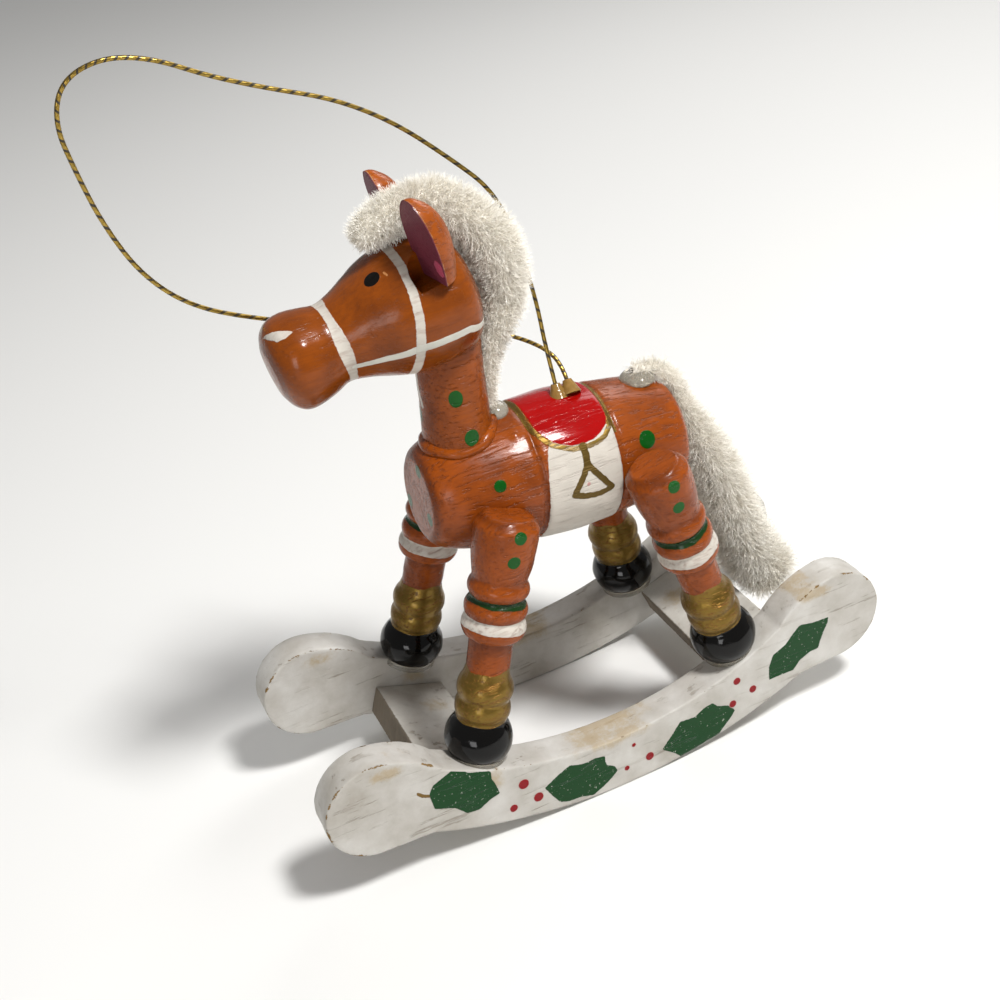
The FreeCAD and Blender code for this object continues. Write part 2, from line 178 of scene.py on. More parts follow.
def dress(piece: bpy.types.Object, finish: bpy.types.Material, slot: str, *nodes: str) -> None:
    """Give a piece its finish, fix it to the root body and hide the CAD nodes that it replaces.

    Args:
        piece: the finished object.
        finish: its material.
        slot: the record's material slot; not used.
        nodes: the CAD nodes that it replaces.
    """
    piece.data.materials.clear()
    piece.data.materials.append(finish)
    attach(piece, "root")
    if nodes:
        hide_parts(*nodes)


def off_path(a: np.ndarray, b: np.ndarray, path: Sequence[Pair]) -> np.ndarray:
    """Distance from each point to an open line of corners.

    Args:
        a: first coordinate of the points.
        b: second coordinate of the points.
        path: the line's corners.

    Returns:
        One distance a point.
    """
    best = np.full(a.shape, FAR)
    for (x0, y0), (x1, y1) in zip(path, path[1:]):
        dx, dy = x1 - x0, y1 - y0
        along = np.clip(((a - x0) * dx + (b - y0) * dy) / max(dx * dx + dy * dy, 1e-9), 0, 1)
        best = np.minimum(best, np.hypot(a - x0 - along * dx, b - y0 - along * dy))
    return best


def off_patch(a: np.ndarray, b: np.ndarray, corners: Sequence[Pair]) -> np.ndarray:
    """Signed distance to a closed patch, negative inside it.

    Args:
        a: first coordinate of the points.
        b: second coordinate of the points.
        corners: the patch's outline.

    Returns:
        One distance a point.
    """
    closed = list(corners) + [corners[0]]
    inside = np.zeros(a.shape, bool)
    for (x0, y0), (x1, y1) in zip(closed, closed[1:]):
        if y0 != y1:
            crossing = ((y0 > b) != (y1 > b)) & (a < (x1 - x0) * (b - y0) / (y1 - y0) + x0)
            inside ^= crossing
    away = off_path(a, b, closed)
    return np.where(inside, -away, away)


def tube_faces(rows: int, around: int) -> List[tuple]:
    """Faces of rings of points joined into a tube, with a fan to a middle point at each end.

    Args:
        rows: how many rings.
        around: how many points in each ring. The two middle points come after all the rings.

    Returns:
        Point numbers of each face.
    """
    faces: List[tuple] = []
    for row in range(rows - 1):
        low, high = row * around, (row + 1) * around
        for j in range(around):
            k = (j + 1) % around
            faces.append((low + j, low + k, high + k, high + j))
    for j in range(around):
        k = (j + 1) % around
        faces.append((rows * around, k, j))
        faces.append((rows * around + 1, (rows - 1) * around + j, (rows - 1) * around + k))
    return faces


def ripple(points: np.ndarray, size: float, seed: float) -> np.ndarray:
    """Smooth repeatable unevenness between -1 and 1.

    Args:
        points: places in millimetres.
        size: length of one wave in millimetres.
        seed: picks another pattern.

    Returns:
        One value a point.
    """
    total = np.zeros(len(points))
    for k in range(6):
        way = unit([math.sin(3.1 * k + seed), math.cos(1.7 * k + 2 * seed), math.sin(2.3 * k + 1 + seed)])
        total += np.sin(points @ way * (2 * math.pi / size) * (0.7 + 0.17 * k) + 5 * k + seed)
    return total / 4.0


# ------------------------------------------------------------------ lathe work
class Run(Enum):
    """How a stretch of a half section goes through its stations."""

    STRAIGHT = "straight"
    BEAD = "bead"
    FLOW = "flow"


@dataclass(frozen=True)
class Turning:
    """A piece off the lathe: its axis in the frame and its half section."""

    base: Triple
    axis: Triple
    zero: Triple
    section: Tuple[Tuple[Run, Tuple[Pair, ...]], ...]
    step: float = 0.24
    columns: int = 200

    def frame_of(self) -> Tuple[np.ndarray, np.ndarray, np.ndarray, np.ndarray]:
        """Directions in which the piece is measured.

        Returns:
            Its foot, its axis, the direction of angle zero, and that of a quarter turn.
        """
        axis = unit(self.axis)
        zero = unit(np.array(self.zero) - np.dot(self.zero, axis) * axis)
        side = np.cross(axis, zero)
        if side[1] < 0:
            side = -side
        return np.array(self.base, float), axis, zero, side

    def outline(self) -> np.ndarray:
        """The half section at close points, with corners softened by paint.

        Returns:
            Rows of station and radius.
        """
        rows: List[Pair] = []
        for run, stations in self.section:
            rows += self.walk(run, [np.array(item, float) for item in stations])[:-1]
        rows.append(self.section[-1][1][-1])
        line = np.array(rows, float)
        keep = line.copy()
        for _ in range(2):
            inner = (line[:-2] + 2 * line[1:-1] + line[2:]) / 4.0
            line[1:-1] = inner
        line[0], line[-1] = keep[0], keep[-1]
        return line

    def walk(self, run: Run, stations: List[np.ndarray]) -> List[Pair]:
        """Close points along one run.

        Args:
            run: how the run goes.
            stations: its given points.

        Returns:
            Pairs from the first station to the last.
        """
        if run is Run.BEAD:
            first, mid, last = stations
            a, b = mid - first, last - first
            cross = 2 * (a[0] * b[1] - a[1] * b[0])
            aside = np.array([b[1] * (a @ a) - a[1] * (b @ b), a[0] * (b @ b) - b[0] * (a @ a)])
            centre = first + aside / cross
            radius = np.linalg.norm(first - centre)
            start = math.atan2(*(first - centre)[::-1])
            end = math.atan2(*(last - centre)[::-1])
            through = math.atan2(*(mid - centre)[::-1])
            sweep = (end - start + math.pi) % (2 * math.pi) - math.pi
            if (through - start) * sweep < 0 and abs(through - start) < math.pi:
                sweep -= math.copysign(2 * math.pi, sweep)
            count = max(4, int(abs(sweep) * radius / self.step))
            turns = [start + sweep * k / count for k in range(count + 1)]
            return [(centre[0] + radius * math.cos(t), centre[1] + radius * math.sin(t)) for t in turns]
        if run is Run.STRAIGHT or len(stations) < 3:
            result: List[Pair] = []
            for first, last in zip(stations, stations[1:]):
                count = max(1, int(np.linalg.norm(last - first) / self.step))
                result += [tuple(first + (last - first) * k / count) for k in range(count)]
            return result + [tuple(stations[-1])]
        ends = [2 * stations[0] - stations[1]] + stations + [2 * stations[-1] - stations[-2]]
        result = []
        for p0, p1, p2, p3 in zip(ends, ends[1:], ends[2:], ends[3:]):
            count = max(2, int(np.linalg.norm(p2 - p1) / self.step))
            for k in range(count):
                t = k / count
                blend = 0.5 * (2 * p1 + (p2 - p0) * t + (2 * p0 - 5 * p1 + 4 * p2 - p3) * t * t
                               + (3 * p1 - p0 - 3 * p2 + p3) * t ** 3)
                result.append(tuple(blend))
        return result + [tuple(stations[-1])]

    def read(self, points: np.ndarray) -> Tuple[np.ndarray, np.ndarray, np.ndarray]:
        """Station, angle in degrees and radius of places in the frame.

        Args:
            points: places in millimetres.

        Returns:
            Three arrays, one value a point.
        """
        base, axis, zero, side = self.frame_of()
        away = points - base
        station = away @ axis
        flat = away - station[:, None] * axis
        return station, np.degrees(np.arctan2(flat @ side, flat @ zero)), np.linalg.norm(flat, axis=1)

    def place(self, station: float, angle: float, lift: float = 0.0) -> np.ndarray:
        """Place in the frame of a station and angle on the turned surface.

        Args:
            station: distance along the axis.
            angle: degrees round it.
            lift: extra radius.

        Returns:
            The place in millimetres.
        """
        base, axis, zero, side = self.frame_of()
        line = self.outline()
        radius = float(np.interp(station, line[:, 0], line[:, 1])) + lift
        turn = math.radians(angle)
        return base + station * axis + radius * (math.cos(turn) * zero + math.sin(turn) * side)

    def spin(self, name: str, relief: Relief) -> bpy.types.Object:
        """Turn the closed mesh.

        Args:
            name: the object's name.
            relief: gives the extra radius of paint at places on the bare surface.

        Returns:
            The object.
        """
        base, axis, zero, side = self.frame_of()
        line = self.outline()
        first, last = line[0], line[-1]
        rows = line[1:-1]
        turns = np.arange(self.columns) * 2 * math.pi / self.columns
        ring = np.cos(turns)[:, None] * zero + np.sin(turns)[:, None] * side
        body = base + rows[:, 0, None, None] * axis + rows[:, 1, None, None] * ring[None]
        points = body.reshape(-1, 3)
        outward = np.tile(ring, (len(rows), 1))
        points = points + relief(points)[:, None] * outward
        points = np.vstack([points, base + first[0] * axis, base + last[0] * axis])
        return solid(name, points, tube_faces(len(rows), self.columns))

    def hollow(self, points: np.ndarray) -> np.ndarray:
        """How far each place lies below the neighbouring stations, in millimetres.

        Args:
            points: places on the surface.

        Returns:
            Positive values in grooves, negative on crests.
        """
        line = self.outline()
        first, last = line[0, 0], line[-1, 0]
        stations = np.linspace(first, last, 400)
        radii = np.interp(np.clip(stations, first + 0.4, last - 0.4), line[:, 0], line[:, 1])
        width = max(3, int(1.6 / (stations[1] - stations[0])))
        padded = np.pad(radii, width, mode="edge")
        mean = np.convolve(padded, np.ones(2 * width + 1) / (2 * width + 1), mode="valid")
        station, _, radius = self.read(points)
        depth = np.clip(np.interp(station, stations, mean - radii), -0.6, 0.6)
        return np.where(radius > np.interp(station, stations, radii) - 0.7, depth, 0.0)


# ------------------------------------------------------------------ finishes
@dataclass(frozen=True)
class Layer:
    """One brushed-on colour over the ground coat, inside a stored distance field.

    ragged and soft are millimetres at the paint's edge. thin is how much of the coat the
    grain shows through, and level is how far the paint fills the grain.
    """

    field: str
    colour: str
    roughness: float = 0.35
    thickness: float = 0.05
    ragged: float = 0.10
    soft: float = 0.05
    metallic: float = 0.0
    thin: float = 0.0
    level: float = 0.0


def paint_mask(tree: bpy.types.NodeTree, layer: Layer, uneven: bpy.types.NodeSocket) -> bpy.types.NodeSocket:
    """Where a layer of paint lies, with the wavering edge that a brush leaves.

    Args:
        tree: the material's node tree.
        layer: the layer.
        uneven: fine noise about zero.

    Returns:
        The socket that is one on the paint and zero off it.
    """
    away = add_node(tree, "ShaderNodeAttribute", {"attribute_name": layer.field}).outputs["Fac"]
    edge = add_node(tree, "ShaderNodeMath", {"operation": "MULTIPLY_ADD"}, {
        0: uneven, 1: 2.0 * layer.ragged, 2: away}).outputs[0]
    return add_node(tree, "ShaderNodeMapRange", {"interpolation_type": "SMOOTHSTEP"}, {
        "Value": edge, "From Min": -layer.soft, "From Max": layer.soft,
        "To Min": 1.0, "To Max": 0.0}).outputs[0]


@dataclass(frozen=True)
class BrushedEnamel:
    """Oil enamel brushed on turned beech: glossy, with the grain's ridges showing through.

    Grain ridges are about 0.5 mm apart and run with the axis; brush hairs leave
    lines about 0.25 mm apart, drawn that coarse so that they show.
    """

    name: str
    colour: str
    deep: str
    roughness: float = 0.22
    grain: float = 0.5
    ridge: float = 0.10
    axis: Triple = (1.0, 0.0, 0.0)
    layers: Tuple[Layer, ...] = ()
    chip_colour: str = "#c9a874"
    chips: bool = True
    coat: float = 0.10

    def make(self) -> bpy.types.Material:
        """Build the material.

        Returns:
            The finish as a material.
        """
        material = bpy.data.materials.new(self.name)
        material.use_nodes = True
        tree = material.node_tree
        tree.nodes.clear()
        coords = add_node(tree, "ShaderNodeTexCoord").outputs["Object"]
        turn = Vector(self.axis).normalized().rotation_difference(Vector((1, 0, 0))).to_euler()
        across = 1000.0 / self.grain
        lined = add_node(tree, "ShaderNodeMapping", None, {
            "Vector": coords, "Rotation": turn, "Scale": (across * 0.045, across, across)}).outputs[0]
        ridges = add_node(tree, "ShaderNodeTexNoise", None, {
            "Vector": lined, "Scale": 1.0, "Detail": 4.0, "Roughness": 0.6}).outputs[0]
        pores = add_node(tree, "ShaderNodeMapRange", {"interpolation_type": "SMOOTHSTEP"}, {
            "Value": ridges, "From Min": 0.30, "From Max": 0.46}).outputs[0]
        hairs = add_node(tree, "ShaderNodeTexNoise", None, {
            "Vector": coords, "Scale": 3600.0, "Detail": 3.0}).outputs[0]
        broad = add_node(tree, "ShaderNodeTexNoise", None, {
            "Vector": coords, "Scale": 170.0, "Detail": 4.0, "Roughness": 0.55}).outputs[0]
        wobble = add_node(tree, "ShaderNodeTexNoise", None, {
            "Vector": coords, "Scale": 1300.0, "Detail": 3.0}).outputs[0]
        centred = add_node(tree, "ShaderNodeMath", {"operation": "SUBTRACT"}, {0: wobble, 1: 0.5}).outputs[0]
        # Painted shade: where the stored hollowness is high, the colour is mixed towards the deep colour,
        # which darkens the turned grooves; broad random mottling is added on top.
        hollow = add_node(tree, "ShaderNodeAttribute", {"attribute_name": "hollow"}).outputs["Fac"]
        shade = add_node(tree, "ShaderNodeMath", {"operation": "MULTIPLY_ADD"}, {
            0: hollow, 1: 0.55, 2: broad}).outputs[0]
        groove_shade_and_mottle = add_node(tree, "ShaderNodeMapRange", {"interpolation_type": "SMOOTHSTEP"}, {
            "Value": shade, "From Min": 0.36, "From Max": 0.82, "To Max": 0.7}).outputs[0]
        colour = add_node(tree, "ShaderNodeMix", {"data_type": "RGBA"}, {
            0: groove_shade_and_mottle, 6: linear(self.colour), 7: linear(self.deep)}).outputs[2]
        streak = add_node(tree, "ShaderNodeMapRange", None, {
            "Value": ridges, "From Min": 0.30, "From Max": 0.70, "To Min": 0.42, "To Max": 0.0}).outputs[0]
        colour = add_node(tree, "ShaderNodeMix", {"data_type": "RGBA"}, {
            0: streak, 6: colour, 7: linear(self.deep)}).outputs[2]
        rough = add_node(tree, "ShaderNodeMapRange", None, {
            "Value": broad, "From Min": 0.3, "From Max": 0.7,
            "To Min": self.roughness - 0.06, "To Max": self.roughness + 0.10}).outputs[0]
        metal = None
        height = add_node(tree, "ShaderNodeMath", {"operation": "MULTIPLY_ADD"}, {
            0: pores, 1: self.ridge, 2: 0.0}).outputs[0]
        fine = add_node(tree, "ShaderNodeMath", {"operation": "MULTIPLY_ADD"}, {
            0: ridges, 1: self.ridge * 0.9, 2: height}).outputs[0]
        height = add_node(tree, "ShaderNodeMath", {"operation": "MULTIPLY_ADD"}, {
            0: hairs, 1: 0.012, 2: fine}).outputs[0]
        for layer in self.layers:
            mask = paint_mask(tree, layer, centred)
            if layer.thin:
                worn = add_node(tree, "ShaderNodeMapRange", {"interpolation_type": "SMOOTHSTEP"}, {
                    "Value": ridges, "From Min": 0.30, "From Max": 0.55,
                    "To Min": 1.0 - layer.thin, "To Max": 1.0}).outputs[0]
                cover = add_node(tree, "ShaderNodeMath", {"operation": "MULTIPLY"}, {
                    0: mask, 1: worn}).outputs[0]
            else:
                cover = mask
            uneven = add_node(tree, "ShaderNodeMapRange", None, {
                "Value": broad, "From Min": 0.3, "From Max": 0.7, "To Min": 0.55, "To Max": 1.1}).outputs[0]
            tone = add_node(tree, "ShaderNodeMix", {"data_type": "RGBA", "blend_type": "MULTIPLY"}, {
                0: 0.35, 6: linear(layer.colour), 7: uneven}).outputs[2]
            colour = add_node(tree, "ShaderNodeMix", {"data_type": "RGBA"}, {
                0: cover, 6: colour, 7: tone}).outputs[2]
            rough = add_node(tree, "ShaderNodeMix", {"data_type": "FLOAT"}, {
                0: cover, 2: rough, 3: layer.roughness}).outputs[0]
            if layer.level:
                filled = add_node(tree, "ShaderNodeMath", {"operation": "MULTIPLY"}, {
                    0: mask, 1: layer.level}).outputs[0]
                height = add_node(tree, "ShaderNodeMix", {"data_type": "FLOAT"}, {
                    0: filled, 2: height, 3: self.ridge}).outputs[0]
            height = add_node(tree, "ShaderNodeMath", {"operation": "MULTIPLY_ADD"}, {
                0: mask, 1: layer.thickness, 2: height}).outputs[0]
            if layer.metallic:
                shine = add_node(tree, "ShaderNodeMath", {"operation": "MULTIPLY"}, {
                    0: cover, 1: layer.metallic}).outputs[0]
                metal = shine if metal is None else add_node(
                    tree, "ShaderNodeMath", {"operation": "MAXIMUM"}, {0: metal, 1: shine}).outputs[0]
            elif metal is not None:
                kept = add_node(tree, "ShaderNodeMath", {"operation": "SUBTRACT"}, {
                    0: 1.0, 1: mask}).outputs[0]
                metal = add_node(tree, "ShaderNodeMath", {"operation": "MULTIPLY"}, {
                    0: metal, 1: kept}).outputs[0]
        if self.chips:
            crest = add_node(tree, "ShaderNodeMapRange", {"interpolation_type": "SMOOTHSTEP"}, {
                "Value": hollow, "From Min": -0.10, "From Max": -0.42}).outputs[0]
            flake = add_node(tree, "ShaderNodeTexNoise", None, {
                "Vector": coords, "Scale": 900.0, "Detail": 5.0, "Roughness": 0.6}).outputs[0]
            near = add_node(tree, "ShaderNodeMath", {"operation": "MULTIPLY"}, {
                0: crest, 1: flake}).outputs[0]
            chip = add_node(tree, "ShaderNodeMapRange", {"interpolation_type": "SMOOTHSTEP"}, {
                "Value": near, "From Min": 0.66, "From Max": 0.70}).outputs[0]
            colour = add_node(tree, "ShaderNodeMix", {"data_type": "RGBA"}, {
                0: chip, 6: colour, 7: linear(self.chip_colour)}).outputs[2]
            rough = add_node(tree, "ShaderNodeMix", {"data_type": "FLOAT"}, {
                0: chip, 2: rough, 3: 0.8}).outputs[0]
            height = add_node(tree, "ShaderNodeMath", {"operation": "MULTIPLY_ADD"}, {
                0: chip, 1: -0.06, 2: height}).outputs[0]
        bump = add_node(tree, "ShaderNodeBump", None, {
            "Strength": 1.0, "Distance": MM, "Height": height}).outputs[0]
        inputs = {"Base Color": colour, "Roughness": rough, "Normal": bump, "Coat Weight": self.coat,
                  "Coat Roughness": 0.08, "IOR": 1.5, "Specular IOR Level": 0.20}
        if metal is not None:
            inputs["Metallic"] = metal
        shader = add_node(tree, "ShaderNodeBsdfPrincipled", None, inputs)
        add_node(tree, "ShaderNodeOutputMaterial", None, {"Surface": shader.outputs[0]})
        return material


@dataclass(frozen=True)
class AgedGloss:
    """White gloss paint aged on sawn plywood: grain cracks, brown chips at the edges, yellow stains.

    Cracks run with the ply's face grain, about 0.8 mm apart and 10 mm long.
    """

    name: str
    colour: str = "#c8c5bf"
    shade: str = "#a59f95"
    layers: Tuple[Layer, ...] = ()
    roughness: float = 0.42
    crack: float = 0.55
    wear: float = 1.0

    def make(self) -> bpy.types.Material:
        """Build the material.

        Returns:
            The finish as a material.
        """
        material = bpy.data.materials.new(self.name)
        material.use_nodes = True
        tree = material.node_tree
        tree.nodes.clear()
        coords = add_node(tree, "ShaderNodeTexCoord").outputs["Object"]
        lined = add_node(tree, "ShaderNodeMapping", None, {
            "Vector": coords, "Scale": (95.0, 560.0, 1250.0)}).outputs[0]
        grain = add_node(tree, "ShaderNodeTexNoise", None, {
            "Vector": lined, "Scale": 1.0, "Detail": 5.0, "Roughness": 0.62}).outputs[0]
        broad = add_node(tree, "ShaderNodeTexNoise", None, {
            "Vector": coords, "Scale": 120.0, "Detail": 5.0, "Roughness": 0.6}).outputs[0]
        fine = add_node(tree, "ShaderNodeTexNoise", None, {
            "Vector": coords, "Scale": 2300.0, "Detail": 4.0}).outputs[0]
        centred = add_node(tree, "ShaderNodeMath", {"operation": "SUBTRACT"}, {0: fine, 1: 0.5}).outputs[0]
        worn = add_node(tree, "ShaderNodeMapRange", None, {
            "Value": broad, "From Min": 0.30, "From Max": 0.72}).outputs[0]
        colour = add_node(tree, "ShaderNodeMix", {"data_type": "RGBA"}, {
            0: worn, 6: linear(self.colour), 7: linear(self.shade)}).outputs[2]
        split = add_node(tree, "ShaderNodeMapRange", {"interpolation_type": "SMOOTHSTEP"}, {
            "Value": grain, "From Min": 0.405, "From Max": 0.355}).outputs[0]
        where = add_node(tree, "ShaderNodeMapRange", {"interpolation_type": "SMOOTHSTEP"}, {
            "Value": broad, "From Min": 0.42, "From Max": 0.60, "To Min": 0.12,
            "To Max": self.crack}).outputs[0]
        crack = add_node(tree, "ShaderNodeMath", {"operation": "MULTIPLY"}, {0: split, 1: where}).outputs[0]
        colour = add_node(tree, "ShaderNodeMix", {"data_type": "RGBA"}, {
            0: crack, 6: colour, 7: linear("#7b7162")}).outputs[2]
        stain = add_node(tree, "ShaderNodeAttribute", {"attribute_name": "stain"}).outputs["Fac"]
        blotch = add_node(tree, "ShaderNodeTexNoise", None, {
            "Vector": coords, "Scale": 420.0, "Detail": 6.0, "Roughness": 0.7}).outputs[0]
        spread = add_node(tree, "ShaderNodeMath", {"operation": "MULTIPLY_ADD"}, {
            0: stain, 1: 0.42, 2: blotch}).outputs[0]
        soaked = add_node(tree, "ShaderNodeMapRange", {"interpolation_type": "SMOOTHSTEP"}, {
            "Value": spread, "From Min": 0.66, "From Max": 1.0, "To Max": 0.6}).outputs[0]
        colour = add_node(tree, "ShaderNodeMix", {"data_type": "RGBA"}, {
            0: soaked, 6: colour, 7: linear("#a48d63")}).outputs[2]
        rough = add_node(tree, "ShaderNodeMapRange", None, {
            "Value": broad, "From Min": 0.3, "From Max": 0.7,
            "To Min": self.roughness - 0.08, "To Max": self.roughness + 0.14}).outputs[0]
        low = add_node(tree, "ShaderNodeMath", {"operation": "MULTIPLY"}, {0: grain, 1: 0.065}).outputs[0]
        height = add_node(tree, "ShaderNodeMath", {"operation": "MULTIPLY_ADD"}, {
            0: crack, 1: -0.08, 2: low}).outputs[0]
        height = add_node(tree, "ShaderNodeMath", {"operation": "MULTIPLY_ADD"}, {
            0: fine, 1: 0.012, 2: height}).outputs[0]
        for layer in self.layers:
            mask = paint_mask(tree, layer, centred)
            speck = add_node(tree, "ShaderNodeMapRange", None, {
                "Value": fine, "From Min": 0.66 if layer.thin else 0.95,
                "From Max": 0.74 if layer.thin else 1.0, "To Max": 0.75 if layer.thin else 0.0}).outputs[0]
            tone = add_node(tree, "ShaderNodeMix", {"data_type": "RGBA"}, {
                0: speck, 6: linear(layer.colour), 7: linear("#c8ccbe")}).outputs[2]
            colour = add_node(tree, "ShaderNodeMix", {"data_type": "RGBA"}, {
                0: mask, 6: colour, 7: tone}).outputs[2]
            rough = add_node(tree, "ShaderNodeMix", {"data_type": "FLOAT"}, {
                0: mask, 2: rough, 3: layer.roughness}).outputs[0]
            height = add_node(tree, "ShaderNodeMath", {"operation": "MULTIPLY_ADD"}, {
                0: mask, 1: layer.thickness, 2: height}).outputs[0]
        rim = add_node(tree, "ShaderNodeAttribute", {"attribute_name": "rim"}).outputs["Fac"]
        close = add_node(tree, "ShaderNodeMapRange", None, {
            "Value": rim, "From Min": 0.0, "From Max": 1.7, "To Min": 0.37 * self.wear,
            "To Max": -0.24}).outputs[0]
        knock = add_node(tree, "ShaderNodeMath", {"operation": "ADD"}, {0: blotch, 1: close}).outputs[0]
        chip = add_node(tree, "ShaderNodeMapRange", {"interpolation_type": "SMOOTHSTEP"}, {
            "Value": knock, "From Min": 0.845, "From Max": 0.865}).outputs[0]
        bare = add_node(tree, "ShaderNodeMix", {"data_type": "RGBA"}, {
            0: fine, 6: linear("#4a3822"), 7: linear("#a08152")}).outputs[2]
        colour = add_node(tree, "ShaderNodeMix", {"data_type": "RGBA"}, {
            0: chip, 6: colour, 7: bare}).outputs[2]
        rough = add_node(tree, "ShaderNodeMix", {"data_type": "FLOAT"}, {
            0: chip, 2: rough, 3: 0.85}).outputs[0]
        height = add_node(tree, "ShaderNodeMath", {"operation": "MULTIPLY_ADD"}, {
            0: chip, 1: -0.10, 2: height}).outputs[0]
        bump = add_node(tree, "ShaderNodeBump", None, {
            "Strength": 1.0, "Distance": MM, "Height": height}).outputs[0]
        shader = add_node(tree, "ShaderNodeBsdfPrincipled", None, {
            "Base Color": colour, "Roughness": rough, "Normal": bump, "Coat Weight": 0.05,
            "Coat Roughness": 0.2, "IOR": 1.5, "Specular IOR Level": 0.22})
        add_node(tree, "ShaderNodeOutputMaterial", None, {"Surface": shader.outputs[0]})
        return material


@dataclass(frozen=True)
class ClippedPile:
    """Undyed rayon chenille pile, cut short: matt, pale at the tips and greyer at the root, the grey being
    painted shade deep in the pile.
    """

    name: str
    tip: str = "#fffcf4"
    root: str = "#d3cbbb"

    def make(self) -> bpy.types.Material:
        """Build the material.

        Returns:
            The finish as a material.
        """
        material = bpy.data.materials.new(self.name)
        material.use_nodes = True
        tree = material.node_tree
        tree.nodes.clear()
        coords = add_node(tree, "ShaderNodeTexCoord").outputs["Object"]
        tuft = add_node(tree, "ShaderNodeTexNoise", None, {
            "Vector": coords, "Scale": 650.0, "Detail": 5.0, "Roughness": 0.65}).outputs[0]
        tip = add_node(tree, "ShaderNodeAttribute", {"attribute_name": "tip"}).outputs["Fac"]
        mixed = add_node(tree, "ShaderNodeMath", {"operation": "MULTIPLY_ADD"}, {
            0: tuft, 1: 0.9, 2: -0.25}).outputs[0]
        amount = add_node(tree, "ShaderNodeMath", {"operation": "MULTIPLY_ADD", "use_clamp": True}, {
            0: tip, 1: 0.75, 2: mixed}).outputs[0]
        # Painted shade: low on each fibre and on the core, the colour goes towards the greyer root colour.
        colour = add_node(tree, "ShaderNodeMix", {"data_type": "RGBA"}, {
            0: amount, 6: linear(self.root), 7: linear(self.tip)}).outputs[2]
        bump = add_node(tree, "ShaderNodeBump", None, {
            "Strength": 0.6, "Distance": 0.3 * MM, "Height": tuft}).outputs[0]
        shader = add_node(tree, "ShaderNodeBsdfPrincipled", None, {
            "Base Color": colour, "Roughness": 0.95, "Normal": bump, "Sheen Weight": 0.1,
            "Sheen Roughness": 0.5, "Specular IOR Level": 0.2})
        add_node(tree, "ShaderNodeOutputMaterial", None, {"Surface": shader.outputs[0]})
        return material


@dataclass(frozen=True)
class Plain:
    """A small part's finish with a fine unevenness: wire, glue or lacquered foil."""

    name: str
    colour: str
    other: str
    roughness: float
    size: float
    metallic: float = 0.0
    clear: float = 0.0
    relief: float = 0.02

    def make(self) -> bpy.types.Material:
        """Build the material.

        Returns:
            The finish as a material.
        """
        material = bpy.data.materials.new(self.name)
        material.use_nodes = True
        tree = material.node_tree
        tree.nodes.clear()
        coords = add_node(tree, "ShaderNodeTexCoord").outputs["Object"]
        uneven = add_node(tree, "ShaderNodeTexNoise", None, {
            "Vector": coords, "Scale": 1000.0 / self.size, "Detail": 4.0}).outputs[0]
        colour = add_node(tree, "ShaderNodeMix", {"data_type": "RGBA"}, {
            0: uneven, 6: linear(self.colour), 7: linear(self.other)}).outputs[2]
        rough = add_node(tree, "ShaderNodeMapRange", None, {
            "Value": uneven, "To Min": self.roughness * 0.6, "To Max": self.roughness * 1.4}).outputs[0]
        bump = add_node(tree, "ShaderNodeBump", None, {
            "Strength": 1.0, "Distance": self.relief * MM, "Height": uneven}).outputs[0]
        shader = add_node(tree, "ShaderNodeBsdfPrincipled", None, {
            "Base Color": colour, "Roughness": rough, "Normal": bump, "Metallic": self.metallic,
            "Transmission Weight": self.clear})
        add_node(tree, "ShaderNodeOutputMaterial", None, {"Surface": shader.outputs[0]})
        return material


@dataclass(frozen=True)
class FoilThread:
    """Lurex thread: gilt polyester foil wound round a dark core, one turn each 1.9 mm."""

    name: str
    pitch: float = 1.9
    length: float = 209.0

    def make(self) -> bpy.types.Material:
        """Build the material.

        Returns:
            The finish as a material.
        """
        material = bpy.data.materials.new(self.name)
        material.use_nodes = True
        tree = material.node_tree
        tree.nodes.clear()
        around = add_node(tree, "ShaderNodeSeparateXYZ", None, {
            0: add_node(tree, "ShaderNodeTexCoord").outputs["UV"]})
        along = add_node(tree, "ShaderNodeMath", {"operation": "MULTIPLY"}, {
            0: around.outputs[0], 1: self.length / self.pitch}).outputs[0]
        twist = add_node(tree, "ShaderNodeMath", {"operation": "ADD"}, {
            0: along, 1: around.outputs[1]}).outputs[0]
        wave = add_node(tree, "ShaderNodeMath", {"operation": "PINGPONG"}, {0: twist, 1: 0.5}).outputs[0]
        gap = add_node(tree, "ShaderNodeMapRange", {"interpolation_type": "SMOOTHSTEP"}, {
            "Value": wave, "From Min": 0.10, "From Max": 0.20}).outputs[0]
        coords = add_node(tree, "ShaderNodeTexCoord").outputs["Object"]
        uneven = add_node(tree, "ShaderNodeTexNoise", None, {
            "Vector": coords, "Scale": 900.0, "Detail": 3.0}).outputs[0]
        gilt = add_node(tree, "ShaderNodeMix", {"data_type": "RGBA"}, {
            0: uneven, 6: linear("#6f5520"), 7: linear("#c8aa58")}).outputs[2]
        colour = add_node(tree, "ShaderNodeMix", {"data_type": "RGBA"}, {
            0: gap, 6: linear("#2c2312"), 7: gilt}).outputs[2]
        bump = add_node(tree, "ShaderNodeBump", None, {
            "Strength": 1.0, "Distance": 0.12 * MM, "Height": wave}).outputs[0]
        shader = add_node(tree, "ShaderNodeBsdfPrincipled", None, {
            "Base Color": colour, "Metallic": gap, "Roughness": 0.32, "Normal": bump})
        add_node(tree, "ShaderNodeOutputMaterial", None, {"Surface": shader.outputs[0]})
        return material


ORANGE = "#93450f"
RUSSET = "#592506"
WHITE_PAINT = "#c8c1b6"
GILT_PAINT = "#7d642c"
GREEN_PAINT = "#014c0b"
RED_PAINT = "#9a0505"


